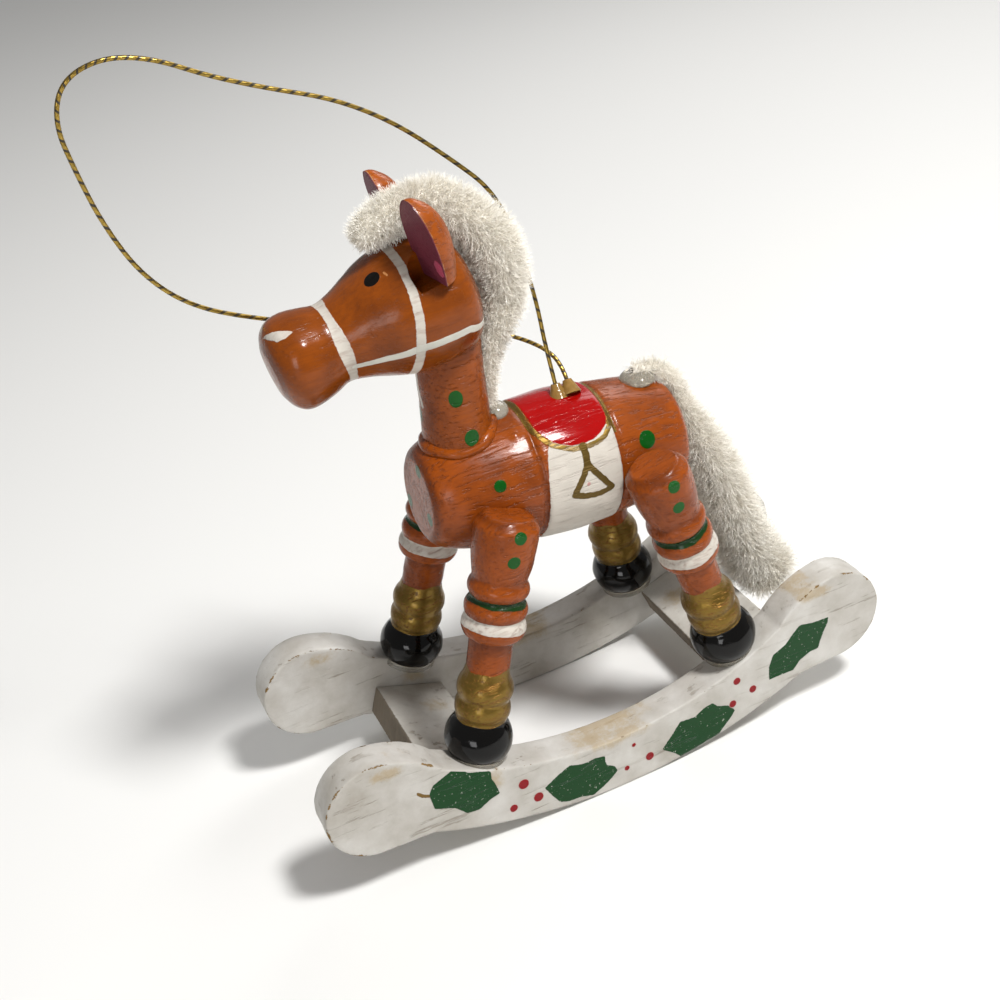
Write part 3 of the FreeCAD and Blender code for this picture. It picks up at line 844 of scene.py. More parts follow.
# ------------------------------------------------------------------ studio
@dataclass(frozen=True)
class Studio:
    """Camera, floor and soft lights."""

    place: Triple = (0.07415528, 0.19602923, 0.1729431)
    right: Triple = (-0.90143771, 0.40676631, -0.14815947)
    up: Triple = (-0.30795611, -0.36199182, 0.87984371)
    back: Triple = (0.30425826, 0.83875091, 0.45157924)
    surround: float = 0.29
    # name, place in metres, side of the square in metres, watts
    lamps: Tuple[Tuple[str, Triple, float, float], ...] = (
        ("key_light", (-0.16, 0.24, 0.55), 0.10, 3.9),
        ("fill_light", (0.42, 0.55, 0.22), 0.22, 0.9),
        ("rim_light", (-0.45, -0.35, 0.45), 0.30, 1.3))

    def camera(self) -> bpy.types.Object:
        """Make the camera and make it the scene's own.

        Returns:
            The camera object.
        """
        lens = bpy.data.cameras.new("studio_camera")
        lens.sensor_width = 36.0
        lens.lens = 53.148
        lens.shift_x = -0.00576
        lens.shift_y = -0.1082
        lens.clip_start = 0.01
        lens.clip_end = 10.0
        camera = bpy.data.objects.new("studio_camera", lens)
        turn = Matrix((self.right, self.up, self.back)).transposed().to_4x4()
        camera.matrix_world = Matrix.Translation(self.place) @ turn
        bpy.context.scene.collection.objects.link(camera)
        bpy.context.scene.camera = camera
        return camera

    def floor(self) -> bpy.types.Object:
        """A plain pale floor under the rockers.

        Returns:
            The floor.
        """
        mesh = bpy.data.meshes.new("floor")
        mesh.from_pydata([(-2, -2, 0), (2, -2, 0), (2, 2, 0), (-2, 2, 0)], [], [(0, 1, 2, 3)])
        floor = bpy.data.objects.new("floor", mesh)
        bpy.context.scene.collection.objects.link(floor)
        material = bpy.data.materials.new("matt_paper_floor")
        material.use_nodes = True
        shader = material.node_tree.nodes["Principled BSDF"]
        shader.inputs["Base Color"].default_value = linear("#e8e7e4")
        shader.inputs["Roughness"].default_value = 0.9
        mesh.materials.append(material)
        return floor

    def light(self, name: str, place: Triple, size: float, power: float) -> bpy.types.Object:
        """One soft area light aimed at the horse.

        Args:
            name: the light's name.
            place: where it stands, in metres.
            size: side of its square, in metres.
            power: watts.

        Returns:
            The light object.
        """
        data = bpy.data.lights.new(name, "AREA")
        data.size = size
        data.energy = power
        lamp = bpy.data.objects.new(name, data)
        lamp.location = place
        aim = Vector((0.0, 0.0, 0.05)) - Vector(place)
        lamp.rotation_euler = aim.to_track_quat("-Z", "Y").to_euler()
        bpy.context.scene.collection.objects.link(lamp)
        return lamp

    def build(self) -> None:
        """Floor, lights and an even pale surround."""
        self.floor()
        for name, place, size, power in self.lamps:
            self.light(name, place, size, power)
        world = bpy.data.worlds.new("pale_surround")
        world.use_nodes = True
        world.node_tree.nodes["Background"].inputs[0].default_value = linear("#ffffff")
        world.node_tree.nodes["Background"].inputs[1].default_value = self.surround
        bpy.context.scene.world = world
        bpy.context.scene.view_settings.view_transform = "Standard"


# ------------------------------------------------------------------ gold thread
@dataclass(frozen=True)
class GoldThread:
    """The hanging loop, glued to the saddle at both ends."""

    radius: float = 0.35
    length: float = 0.20914
    route: Tuple[Triple, ...] = (
        (-0.0055, 0.0, 0.0659), (-0.0057, -0.0022, 0.0717), (-0.0066, -0.0054, 0.0785),
        (-0.0061, -0.0079, 0.0874), (-0.0036, -0.0084, 0.0971), (0.0029, -0.0083, 0.1044),
        (0.0106, -0.0081, 0.1121), (0.0187, -0.0084, 0.1176), (0.0275, -0.0083, 0.1213),
        (0.0356, -0.0079, 0.1252), (0.0427, -0.0074, 0.1296), (0.0493, -0.0072, 0.1313),
        (0.0552, -0.0074, 0.1294), (0.0574, -0.0079, 0.1239), (0.0565, -0.0083, 0.1170),
        (0.0549, -0.0093, 0.1086), (0.0516, -0.0102, 0.0994), (0.0458, -0.0111, 0.0922),
        (0.0368, -0.0121, 0.0869), (0.0256, -0.0131, 0.0820), (0.0128, -0.0132, 0.0774),
        (0.0024, -0.0122, 0.0739), (-0.0032, -0.0090, 0.0719), (-0.0064, -0.0049, 0.0703),
        (-0.0077, -0.0017, 0.0683), (-0.0076, 0.0, 0.0659))

    def build(self) -> bpy.types.Object:
        """Lay the thread as one smooth spline.

        Returns:
            The thread.
        """
        line = bpy.data.curves.new("gold_thread", "CURVE")
        line.dimensions = "3D"
        spline = line.splines.new("NURBS")
        spline.points.add(len(self.route) - 1)
        for point, place in zip(spline.points, self.route):
            point.co = (*place, 1.0)
        spline.order_u = 3
        spline.use_endpoint_u = True
        spline.resolution_u = 12
        line.bevel_depth = self.radius * MM
        line.bevel_resolution = 4
        line.use_fill_caps = True
        thread = bpy.data.objects.new("gold_thread", line)
        bpy.context.scene.collection.objects.link(thread)
        foil = FoilThread("lurex_wound_gilt_foil", length=self.length / MM)
        dress(thread, foil.make(), "gold_thread", "hanging_cord")
        return thread


# ------------------------------------------------------------------ rockers
@dataclass(frozen=True)
class RockerPair:
    """Two sawn plywood rockers, white, with holly painted on their outer faces."""

    inner: float = 14.2
    outer: float = 20.2
    sole_radius: float = 87.6
    top_radius: float = 61.2
    waist: float = 10.1
    lobe_radius: float = 8.45
    lobe_x: float = 42.55
    lobe_z: float = 15.9
    sole_end: float = 34.5
    shoulder: float = 31.0
    ease: float = 0.28
    grid: float = 0.42
    leaves: Tuple[Tuple[Pair, ...], ...] = (
        ((34.1, 14.9), (33.2, 16.3), (29.1, 17.9), (27.2, 15.9), (25.3, 15.2), (23.5, 14.4),
         (23.6, 12.8), (23.1, 11.3), (22.7, 9.4), (24.6, 8.9), (26.6, 7.9), (28.6, 8.2), (30.5, 10.3),
         (33.7, 11.7)),
        ((15.1, 6.5), (12.4, 8.0), (10.1, 8.9), (8.8, 8.3), (7.5, 8.0), (5.6, 8.1), (3.8, 7.7),
         (3.9, 6.7), (3.7, 5.7), (2.4, 4.9), (1.9, 3.7), (3.3, 2.6), (4.6, 1.8), (6.8, 0.8), (9.3, 1.6),
         (11.2, 1.7), (12.9, 2.4), (14.1, 4.5)),
        ((-6.6, 3.9), (-8.9, 6.2), (-10.5, 8.0), (-13.4, 7.7), (-15.2, 8.7), (-16.9, 9.0), (-17.9, 7.9),
         (-19.9, 7.1), (-21.1, 5.5), (-20.1, 4.3), (-18.9, 3.3), (-17.3, 1.8), (-15.5, 1.7),
         (-13.7, 1.4), (-10.1, 0.6), (-8.9, 2.0)),
        ((-28.2, 8.7), (-28.4, 11.4), (-29.4, 13.5), (-31.9, 14.5), (-33.9, 16.4), (-35.1, 17.3),
         (-37.5, 16.7), (-40.8, 16.5), (-40.6, 15.4), (-40.0, 14.5), (-38.9, 12.4), (-38.4, 11.0),
         (-36.6, 10.9), (-34.6, 10.1), (-33.1, 8.6), (-30.4, 8.7)))
    stem: Tuple[Pair, ...] = ((35.8, 15.9), (35.0, 15.0), (34.0, 14.6))
    # x, z and radius of each berry
    berries: Tuple[Triple, ...] = (
        (18.5, 9.1, 0.95), (16.4, 5.3, 0.9), (20.9, 5.2, 0.72), (-1.6, 7.4, 0.42), (-4.2, 3.7, 0.8),
        (0.2, 3.3, 0.5), (-22.0, 11.3, 0.72), (-24.9, 8.3, 0.72), (-20.8, 7.0, 0.72))

    # x, z, half length and half height of each yellowed patch
    stains: Tuple[Tuple[float, float, float, float], ...] = (
        (2.0, 10.5, 8.0, 2.2), (40.0, 22.0, 3.5, 1.5), (-38.0, 22.5, 5.0, 1.6), (24.0, 12.0, 3.0, 2.5))

    def outline(self) -> np.ndarray:
        """Side outline of a rocker, its back half a mirror of its front half.

        Returns:
            Rows of x and z, from the middle of the sole towards the front lobe and round.
        """
        sole = lambda x: self.sole_radius - math.sqrt(self.sole_radius ** 2 - x * x)
        top = lambda x: self.waist + self.top_radius - math.sqrt(self.top_radius ** 2 - x * x)
        low, high = self.lobe_z - self.lobe_radius, self.lobe_z + self.lobe_radius
        mid = ((self.shoulder + self.lobe_x) / 2 - 0.6, (top(self.shoulder) + high) / 2 + 1.1)
        half: List[Pair] = [(x, sole(x)) for x in np.linspace(0, self.sole_end, 60)[:-1]]
        half += [(x, z) for x, z in zip(np.linspace(self.sole_end, self.lobe_x, 14)[:-1],
                                        np.linspace(sole(self.sole_end), low, 14)[:-1])]
        half += [(self.lobe_x + self.lobe_radius * math.sin(a), self.lobe_z - self.lobe_radius * math.cos(a))
                 for a in np.linspace(0, math.pi, 50)[:-1]]
        shoulder = Turning((0, 0, 0), (0, 0, 1), (1, 0, 0), (), step=0.5)
        half += shoulder.walk(Run.BEAD, [np.array((self.lobe_x, high)), np.array(mid),
                                         np.array((self.shoulder, top(self.shoulder)))])[:-1]
        half += [(x, top(x)) for x in np.linspace(self.shoulder, 0, 56)]
        line = np.array(half)
        mirror = line[::-1][1:-1] * np.array([-1.0, 1.0])
        return np.vstack([line, mirror])

    def build_one(self, side: int) -> bpy.types.Object:
        """Saw, ease and dress one rocker.

        Args:
            side: 1 for the horse's left, -1 for its right.

        Returns:
            The rocker.
        """
        edge = self.outline()
        ahead, behind = np.roll(edge, -1, 0), np.roll(edge, 1, 0)
        way = ahead - behind
        inward = np.stack([-way[:, 1], way[:, 0]], 1) / np.linalg.norm(way, axis=1)[:, None]
        face = edge + inward * self.ease
        count = len(edge)
        closed = [tuple(p) for p in edge]
        xs = np.arange(-51.5, 51.5, self.grid)
        zs = np.arange(0, 25.0, self.grid * 0.87)
        gx, gz = np.meshgrid(xs, zs)
        gx = gx + (np.arange(len(zs)) % 2)[:, None] * self.grid / 2
        gx, gz = gx.ravel(), gz.ravel()
        deep = off_patch(gx, gz, closed)
        keep = deep < -(self.ease + self.grid * 0.6)
        inner = np.stack([gx[keep], gz[keep]], 1)
        flat = [Vector(p) for p in np.vstack([face, inner])]
        out = delaunay_2d_cdt(flat, [], [list(range(count))], 1, 1e-5)
        verts2 = np.array([tuple(v) for v in out[0]])
        tris = [tuple(t) for t in out[2]]
        total = len(verts2)
        middle = (self.inner + self.outer) / 2
        half = (self.outer - self.inner) / 2
        front = np.stack([verts2[:, 0], np.full(total, half), verts2[:, 1]], 1)
        back = front * np.array([1, -1, 1])
        corner = self.ease * 0.3
        depths = [half - corner, half - self.ease, 1.6, 0.8, 0.0, -0.8, -1.6,
                  -half + self.ease, -half + corner]
        insets = [corner, 0.0, 0.0, 0.0, 0.0, 0.0, 0.0, 0.0, corner]
        rings = []
        for depth, inset in zip(depths, insets):
            ring = edge + inward * inset
            rings.append(np.stack([ring[:, 0], np.full(count, depth), ring[:, 1]], 1))
        points = np.vstack([front, back] + rings)
        faces: List[tuple] = list(tris) + [tuple(i + total for i in t[::-1]) for t in tris]
        base = 2 * total
        starts = [0] + [base + k * count for k in range(len(rings))] + [total]
        loops = [list(range(start, start + count)) for start in starts]
        for one, two in zip(loops, loops[1:]):
            faces += [(one[i], one[(i + 1) % count], two[(i + 1) % count], two[i]) for i in range(count)]
        rough = ripple(points, 7.0, 0.3) * 0.05 + ripple(points, 2.1, 1.7) * 0.02
        rimmed = np.concatenate([np.zeros(2 * total), np.ones(len(rings) * count)])
        outward = np.concatenate([np.zeros((2 * total, 2)), np.tile(-inward, (len(rings), 1))])
        points[:, 0] += outward[:, 0] * (rough - 0.05) * rimmed
        points[:, 2] += outward[:, 1] * (rough - 0.05) * rimmed
        points[:, 1] = points[:, 1] * side + middle * side
        piece = solid("left_rocker_ply" if side > 0 else "right_rocker_ply", points, faces, sharp=70.0)
        x, y, z = points.T
        outer_face = np.abs(y) > self.outer - 0.05
        gap = np.where(outer_face, 0.0, UNPAINTED)
        fields: Fields = {}
        leaf = np.full(len(x), FAR)
        for corners in self.leaves:
            leaf = np.minimum(leaf, off_patch(x, z, corners))
        fields["leaf"] = leaf + gap
        fields["stem"] = off_path(x, z, self.stem) - 0.3 + gap
        berry = np.full(len(x), FAR)
        for bx, bz, radius in self.berries:
            berry = np.minimum(berry, np.hypot((x - bx) * 1.05, z - bz) - radius)
        fields["berry"] = berry + gap
        calm = 0.30 * (1 - np.clip((np.abs(x) - 27.0) / 8.0, 0, 1))
        fields["rim"] = calm + np.where(np.abs(np.abs(y) - middle) > half - 0.05,
                                        -off_patch(x, z, closed), half - np.abs(np.abs(y) - middle))
        stain = np.zeros(len(x))
        for sx, sz, long, tall in self.stains:
            stain = np.maximum(stain, np.clip(1.4 - np.hypot((x - sx) / long, (z - sz) / tall), 0, 1))
        fields["stain"] = stain
        write_fields(piece, fields)
        return piece

    def build(self) -> None:
        """Make and dress both rockers."""
        finish = AgedGloss("aged_white_gloss_on_plywood", layers=(
            Layer("stem", "#6e5427", 0.5, 0.03, 0.12),
            Layer("leaf", "#00380f", 0.24, 0.05, 0.10, thin=0.5),
            Layer("berry", "#c98f8a", 0.4, 0.0, 0.05, 0.22),
            Layer("berry", "#80060f", 0.25, 0.06, 0.05, 0.05))).make()
        for side, node in ((1, "left_rocker"), (-1, "right_rocker")):
            piece = self.build_one(side)
            dress(piece, finish, "white_ply", node)
            LOG.info("%s: %d points", piece.name, len(piece.data.vertices))


@dataclass(frozen=True)
class CrossBoards:
    """Two sawn boards between the rockers: painted on top, raw and grey on the edge towards the nose."""

    width: float = 13.0
    length: float = 28.4
    thick: float = 5.0
    tilt: float = 20.0
    front: Pair = (19.3, 7.6)
    rear: Pair = (-22.0, 9.9)

    def build_one(self, name: str, place: Pair, way: int) -> bpy.types.Object:
        """One board, with its unpainted sawn edge towards the horse's front.

        Args:
            name: the object's name.
            place: x and z of the board's upper inner edge.
            way: 1 when it runs forwards from that edge, -1 backwards.

        Returns:
            The board.
        """
        across, up = 52, 20
        lines_x = np.linspace(0, self.width, across + 1)
        lines_y = np.linspace(-self.length / 2, self.length / 2, 105)
        lines_z = np.linspace(-self.thick, 0, up + 1)
        seen: Dict[tuple, int] = {}
        points: List[Triple] = []
        faces: List[tuple] = []

        def number(x: float, y: float, z: float) -> int:
            """Number of the point at a place, made when it is new."""
            key = (round(x, 4), round(y, 4), round(z, 4))
            if key not in seen:
                seen[key] = len(points)
                points.append((x, y, z))
            return seen[key]

        def sheet_of(us: np.ndarray, vs: np.ndarray, at: Callable[[float, float], Triple]) -> None:
            """Add one side of the board as a grid."""
            for u0, u1 in zip(us, us[1:]):
                for v0, v1 in zip(vs, vs[1:]):
                    corners = (at(u0, v0), at(u1, v0), at(u1, v1), at(u0, v1))
                    faces.append(tuple(number(*corner) for corner in corners))

        sheet_of(lines_x, lines_y, lambda u, v: (u, v, 0.0))
        sheet_of(lines_x, lines_y, lambda u, v: (u, v, -self.thick))
        sheet_of(lines_y, lines_z, lambda u, v: (0.0, u, v))
        sheet_of(lines_y, lines_z, lambda u, v: (self.width, u, v))
        sheet_of(lines_x, lines_z, lambda u, v: (u, -self.length / 2, v))
        sheet_of(lines_x, lines_z, lambda u, v: (u, self.length / 2, v))
        local = np.array(points)
        centre = np.array([self.width / 2, 0, -self.thick / 2])
        half = np.array([self.width / 2, self.length / 2, self.thick / 2])
        away = local - centre
        limit = half - 0.35
        core = np.clip(away, -limit, limit)
        over = away - core
        size = np.linalg.norm(over, axis=1)
        push = np.where(size > 1e-6, np.minimum(size, 0.35) / np.maximum(size, 1e-6), 1.0)
        shaped = centre + core + over * push[:, None]
        saw = ripple(local * np.array([1, 3.5, 0.8]), 3.0, 0.9) * 0.10
        behind_edge = self.width - local[:, 0] if way > 0 else local[:, 0]
        shaped[:, 0] -= way * np.where(behind_edge < 0.1, 0.10 + saw, 0.0)
        raw = behind_edge - 0.35
        turn = math.radians(self.tilt)
        x = way * (shaped[:, 0] * math.cos(turn)) - way * shaped[:, 2] * math.sin(turn)
        z = shaped[:, 0] * math.sin(turn) + shaped[:, 2] * math.cos(turn)
        placed = np.stack([x + place[0], shaped[:, 1], z + place[1]], 1)
        piece = solid(name, placed, faces, sharp=80.0)
        edge = np.minimum(np.minimum(local[:, 0], self.width - local[:, 0]), 1.2)
        edge = np.where(behind_edge < 0.6, 1.2, edge)
        patch = np.clip(1.2 - np.hypot((local[:, 0] - 4.0) / 4.0, (np.abs(local[:, 1]) - 7.0) / 3.5), 0, 1)
        write_fields(piece, {"raw": raw, "rim": edge + 0.2, "stain": patch})
        return piece

    def build(self) -> None:
        """Make and dress both boards."""
        finish = AgedGloss("aged_white_gloss_on_sawn_board", colour="#ccc9c1", layers=(
            Layer("raw", "#776d5f", 0.85, -0.04, 0.22, 0.12),), crack=0.7).make()
        for name, node, place, way in (("front_board_sawn", "front_cross_board", self.front, 1),
                                       ("rear_board_sawn", "rear_cross_board", self.rear, -1)):
            piece = self.build_one(name, place, way)
            dress(piece, finish, "white_ply", node)
            LOG.info("%s: %d points", name, len(piece.data.vertices))


# ------------------------------------------------------------------ barrel
@dataclass(frozen=True)
class Barrel:
    """The turned body with its painted saddle, blanket, stirrups and dots."""

    turning: Turning = Turning(
        (0.0, 0.0, 52.8), (math.cos(math.radians(4.3)), 0.0, math.sin(math.radians(4.3))), (0.0, 0.0, 1.0), (
            (Run.STRAIGHT, ((-24.8, 0.0), (-24.8, 6.4))),
            (Run.FLOW, ((-24.8, 6.4), (-23.9, 8.5), (-22.2, 9.8), (-17.0, 10.6), (-11.05, 11.3))),
            (Run.STRAIGHT, ((-11.05, 11.3), (-10.5, 10.9), (-9.95, 11.5))),
            (Run.FLOW, ((-9.95, 11.5), (-4.0, 11.8), (2.75, 11.5))),
            (Run.STRAIGHT, ((2.75, 11.5), (3.3, 10.9), (3.85, 11.3))),
            (Run.FLOW, ((3.85, 11.3), (7.5, 11.0), (11.1, 10.5), (14.8, 9.9), (17.6, 9.1), (19.6, 8.0),
                        (20.6, 6.6))),
            (Run.STRAIGHT, ((20.6, 6.6), (20.6, 0.0)))), step=0.26, columns=280)
    girth: float = 11.6
    saddle: Tuple[Pair, ...] = (
        (2.5, -20), (2.5, 20), (2.4, 30), (1.9, 38), (0.8, 46), (-0.6, 50), (-2.4, 53.5), (-4.6, 54),
        (-6.2, 53), (-7.7, 49.5), (-9.1, 44), (-9.8, 37), (-9.9, 25), (-9.8, -20))
    piping: Tuple[Pair, ...] = (
        (3.0, -5), (3.1, 23), (2.7, 34), (1.7, 43), (0.7, 49), (-0.8, 53), (-2.6, 56.5), (-4.7, 57),
        (-6.6, 56), (-8.4, 52.5), (-9.6, 46), (-10.2, 38), (-10.35, 25), (-10.35, -5))
    blanket: Tuple[Pair, ...] = (
        (0.8, 44), (1.6, 52), (2.1, 59), (2.6, 74), (2.8, 90), (2.9, 120), (2.9, 185), (-10.1, 185),
        (-10.1, 100), (-10.1, 44))
    strap: Tuple[Pair, ...] = ((-4.1, 56), (-4.15, 63), (-4.1, 71))
    stirrup: Tuple[Pair, ...] = (
        (-4.1, 70), (-3.2, 78), (-1.9, 87), (-1.3, 92.5), (-3.0, 95.5), (-5.2, 96.8), (-6.8, 96),
        (-7.9, 94.5), (-6.7, 87), (-5.4, 79), (-4.1, 70))

    def fields(self, points: np.ndarray) -> Fields:
        """Distances to each painted shape.

        Args:
            points: places in millimetres.

        Returns:
            A field a colour.
        """
        s, angle, radius = self.turning.read(points)
        arc = math.radians(1) * self.girth
        t = np.abs(angle) * arc
        unroll = lambda shape: [(a, b * arc) for a, b in shape]
        rim = np.where(radius < 6.0, UNPAINTED, 0.0)
        saddle = off_patch(s, t, unroll(self.saddle))
        gilt = off_path(s, t, unroll(self.piping)) - 0.42
        gilt = np.minimum(gilt, np.maximum(np.abs(s + 10.35) - 0.3, t - 52 * arc))
        stirrup = off_path(s, t, unroll(self.strap)) - 0.62
        stirrup = np.minimum(stirrup, off_path(s, t, unroll(self.stirrup)) - 0.52)
        dots = np.full(len(s), FAR)
        for station, turn, size in ((10.4, 69, 1.0), (10.4, -69, 1.0), (-15.5, 65, 1.5), (-15.5, -65, 1.5)):
            dots = np.minimum(dots, np.linalg.norm(points - self.turning.place(station, turn), axis=1) - size)
        for place, size in (((20.14, 1.33, 59.68), 1.1), ((20.74, -4.66, 51.74), 1.1),
                            ((20.67, 4.5, 52.6), 1.1)):
            dots = np.minimum(dots, np.linalg.norm(points - np.array(place), axis=1) - size)
        pip = np.minimum(
            np.linalg.norm(points - self.turning.place(-3.8, 86), axis=1),
            np.linalg.norm(points - self.turning.place(-3.8, -86), axis=1)) - 0.35
        return {"blanket": off_patch(s, t, unroll(self.blanket)) + rim,
                "saddle": saddle + rim, "gilt": gilt + rim,
                "stirrup": stirrup + rim, "dots": dots, "pip": pip}

    def relief(self, points: np.ndarray) -> np.ndarray:
        """Thickness of paint and drips standing on the wood.

        Args:
            points: places on the bare surface, in millimetres.

        Returns:
            Extra radius at each place, in millimetres.
        """
        fields = self.fields(points)
        lay = lambda name, high: high * np.clip(0.5 - fields[name] / 0.5, 0, 1)
        lift = lay("saddle", 0.10) + lay("blanket", 0.04) + lay("gilt", 0.06) + lay("dots", 0.08)
        for station, turn, size, high in ((5.6, 31, 0.8, 0.30), (16.0, 20, 0.7, 0.25),
                                          (-18.0, 52, 0.9, 0.16)):
            away = np.linalg.norm(points - self.turning.place(station, turn), axis=1)
            lift += high * np.exp(-(away / size) ** 2)
        return lift + ripple(points, 5.0, 0.5) * 0.05

    def build(self) -> bpy.types.Object:
        """Turn, paint and dress the barrel.

        Returns:
            The barrel.
        """
        piece = self.turning.spin("barrel_body", self.relief)
        points = points_of(piece)
        fields = self.fields(points)
        fields["hollow"] = self.turning.hollow(points)
        write_fields(piece, fields)
        finish = BrushedEnamel("orange_enamel_on_turned_beech_barrel", ORANGE, RUSSET,
                               axis=self.turning.axis, layers=(
            Layer("blanket", WHITE_PAINT, 0.42, 0.04, 0.16, 0.06, thin=0.08, level=0.35),
            Layer("saddle", RED_PAINT, 0.12, 0.08, 0.10, 0.05, level=0.6),
            Layer("gilt", GILT_PAINT, 0.38, 0.06, 0.22, 0.06, metallic=0.75, thin=0.3),
            Layer("stirrup", "#5e4a1e", 0.42, 0.06, 0.20, 0.06, metallic=0.45),
            Layer("pip", "#b88a84", 0.4, 0.02, 0.1, 0.08),
            Layer("dots", GREEN_PAINT, 0.22, 0.05, 0.06, 0.04))).make()
        dress(piece, finish, "orange_enamel", "body_barrel")
        LOG.info("barrel_body: %d points", len(points))
        return piece


# ------------------------------------------------------------------ neck
@dataclass(frozen=True)
class NeckAndCollar:
    """The turned neck and the bead of filler round its joint with the barrel."""

    turning: Turning = Turning(
        (12.2, 0.0, 61.6), (-0.05, 0.0, 1.0), (1.0, 0.0, 0.0), (
            (Run.STRAIGHT, ((-5.0, 0.0), (-5.0, 5.65), (2.0, 5.65), (8.0, 5.35), (18.4, 5.35),
                            (18.4, 0.0))),),
        step=0.26, columns=150)
    bead: float = 1.0

    def build(self, barrel: Turning) -> None:
        """Turn the neck, run the bead, and paint both.

        Args:
            barrel: the turned body that the neck stands on.
        """
        piece = self.turning.spin("neck_turned", lambda p: ripple(p, 4.0, 1.1) * 0.05)
        points = points_of(piece)
        s, angle, _ = self.turning.read(points)
        arc = math.radians(1) * 5.5
        dots = np.full(len(s), FAR)
        for station, turn, wide, tall in ((10.1, 75, 1.15, 1.45), (10.1, -75, 1.15, 1.45),
                                          (3.1, 93, 1.2, 1.4),
                                          (3.1, -93, 1.2, 1.4), (6.2, -12, 1.1, 1.3)):
            away = np.hypot((angle - turn) * arc / wide, (s - station) / tall)
            dots = np.minimum(dots, (away - 1) * 1.2)
        stroke = off_path(s, angle * arc, ((13.6, -3 * arc), (11.0, -5 * arc), (8.2, 4 * arc))) - 0.5
        write_fields(piece, {"dots": dots, "stroke": stroke, "hollow": np.zeros(len(s))})
        finish = BrushedEnamel("orange_enamel_on_turned_beech_neck", "#8e440a", RUSSET,
                               axis=self.turning.axis, layers=(
            Layer("stroke", WHITE_PAINT, 0.35, 0.06, 0.12),
            Layer("dots", GREEN_PAINT, 0.22, 0.05, 0.05, 0.04)), chips=False).make()
        dress(piece, finish, "orange_enamel", "neck")
        LOG.info("neck_turned: %d points", len(points))
        base, axis, zero, side = self.turning.frame_of()
        rings, around = 120, 14
        line = barrel.outline()
        verts: List[np.ndarray] = []
        for k in range(rings):
            turn = 2 * math.pi * k / rings
            out = math.cos(turn) * zero + math.sin(turn) * side
            low, high = -8.0, 6.0
            for _ in range(30):
                mid = (low + high) / 2
                station, _, radius = barrel.read((base + 5.55 * out + mid * axis)[None])
                if radius[0] > np.interp(station[0], line[:, 0], line[:, 1]):
                    high = mid
                else:
                    low = mid
            centre = base + 5.45 * out + (high + 0.1) * axis
            thick = self.bead * (1 + 0.12 * math.sin(3 * turn + 1) + 0.08 * math.sin(7 * turn))
            for j in range(around):
                a = 2 * math.pi * j / around
                verts.append(centre + thick * (math.cos(a) * out + math.sin(a) * axis))
        faces = [(k * around + j, k * around + (j + 1) % around,
                  ((k + 1) % rings) * around + (j + 1) % around, ((k + 1) % rings) * around + j)
                 for k in range(rings) for j in range(around)]
        collar = solid("neck_collar_bead", np.array(verts), faces)
        write_fields(collar, {"hollow": np.zeros(len(verts))})
        coat = BrushedEnamel("orange_enamel_over_filler_bead", "#98480c", RUSSET, 0.20, chips=False).make()
        dress(collar, coat, "orange_enamel", "neck_collar")


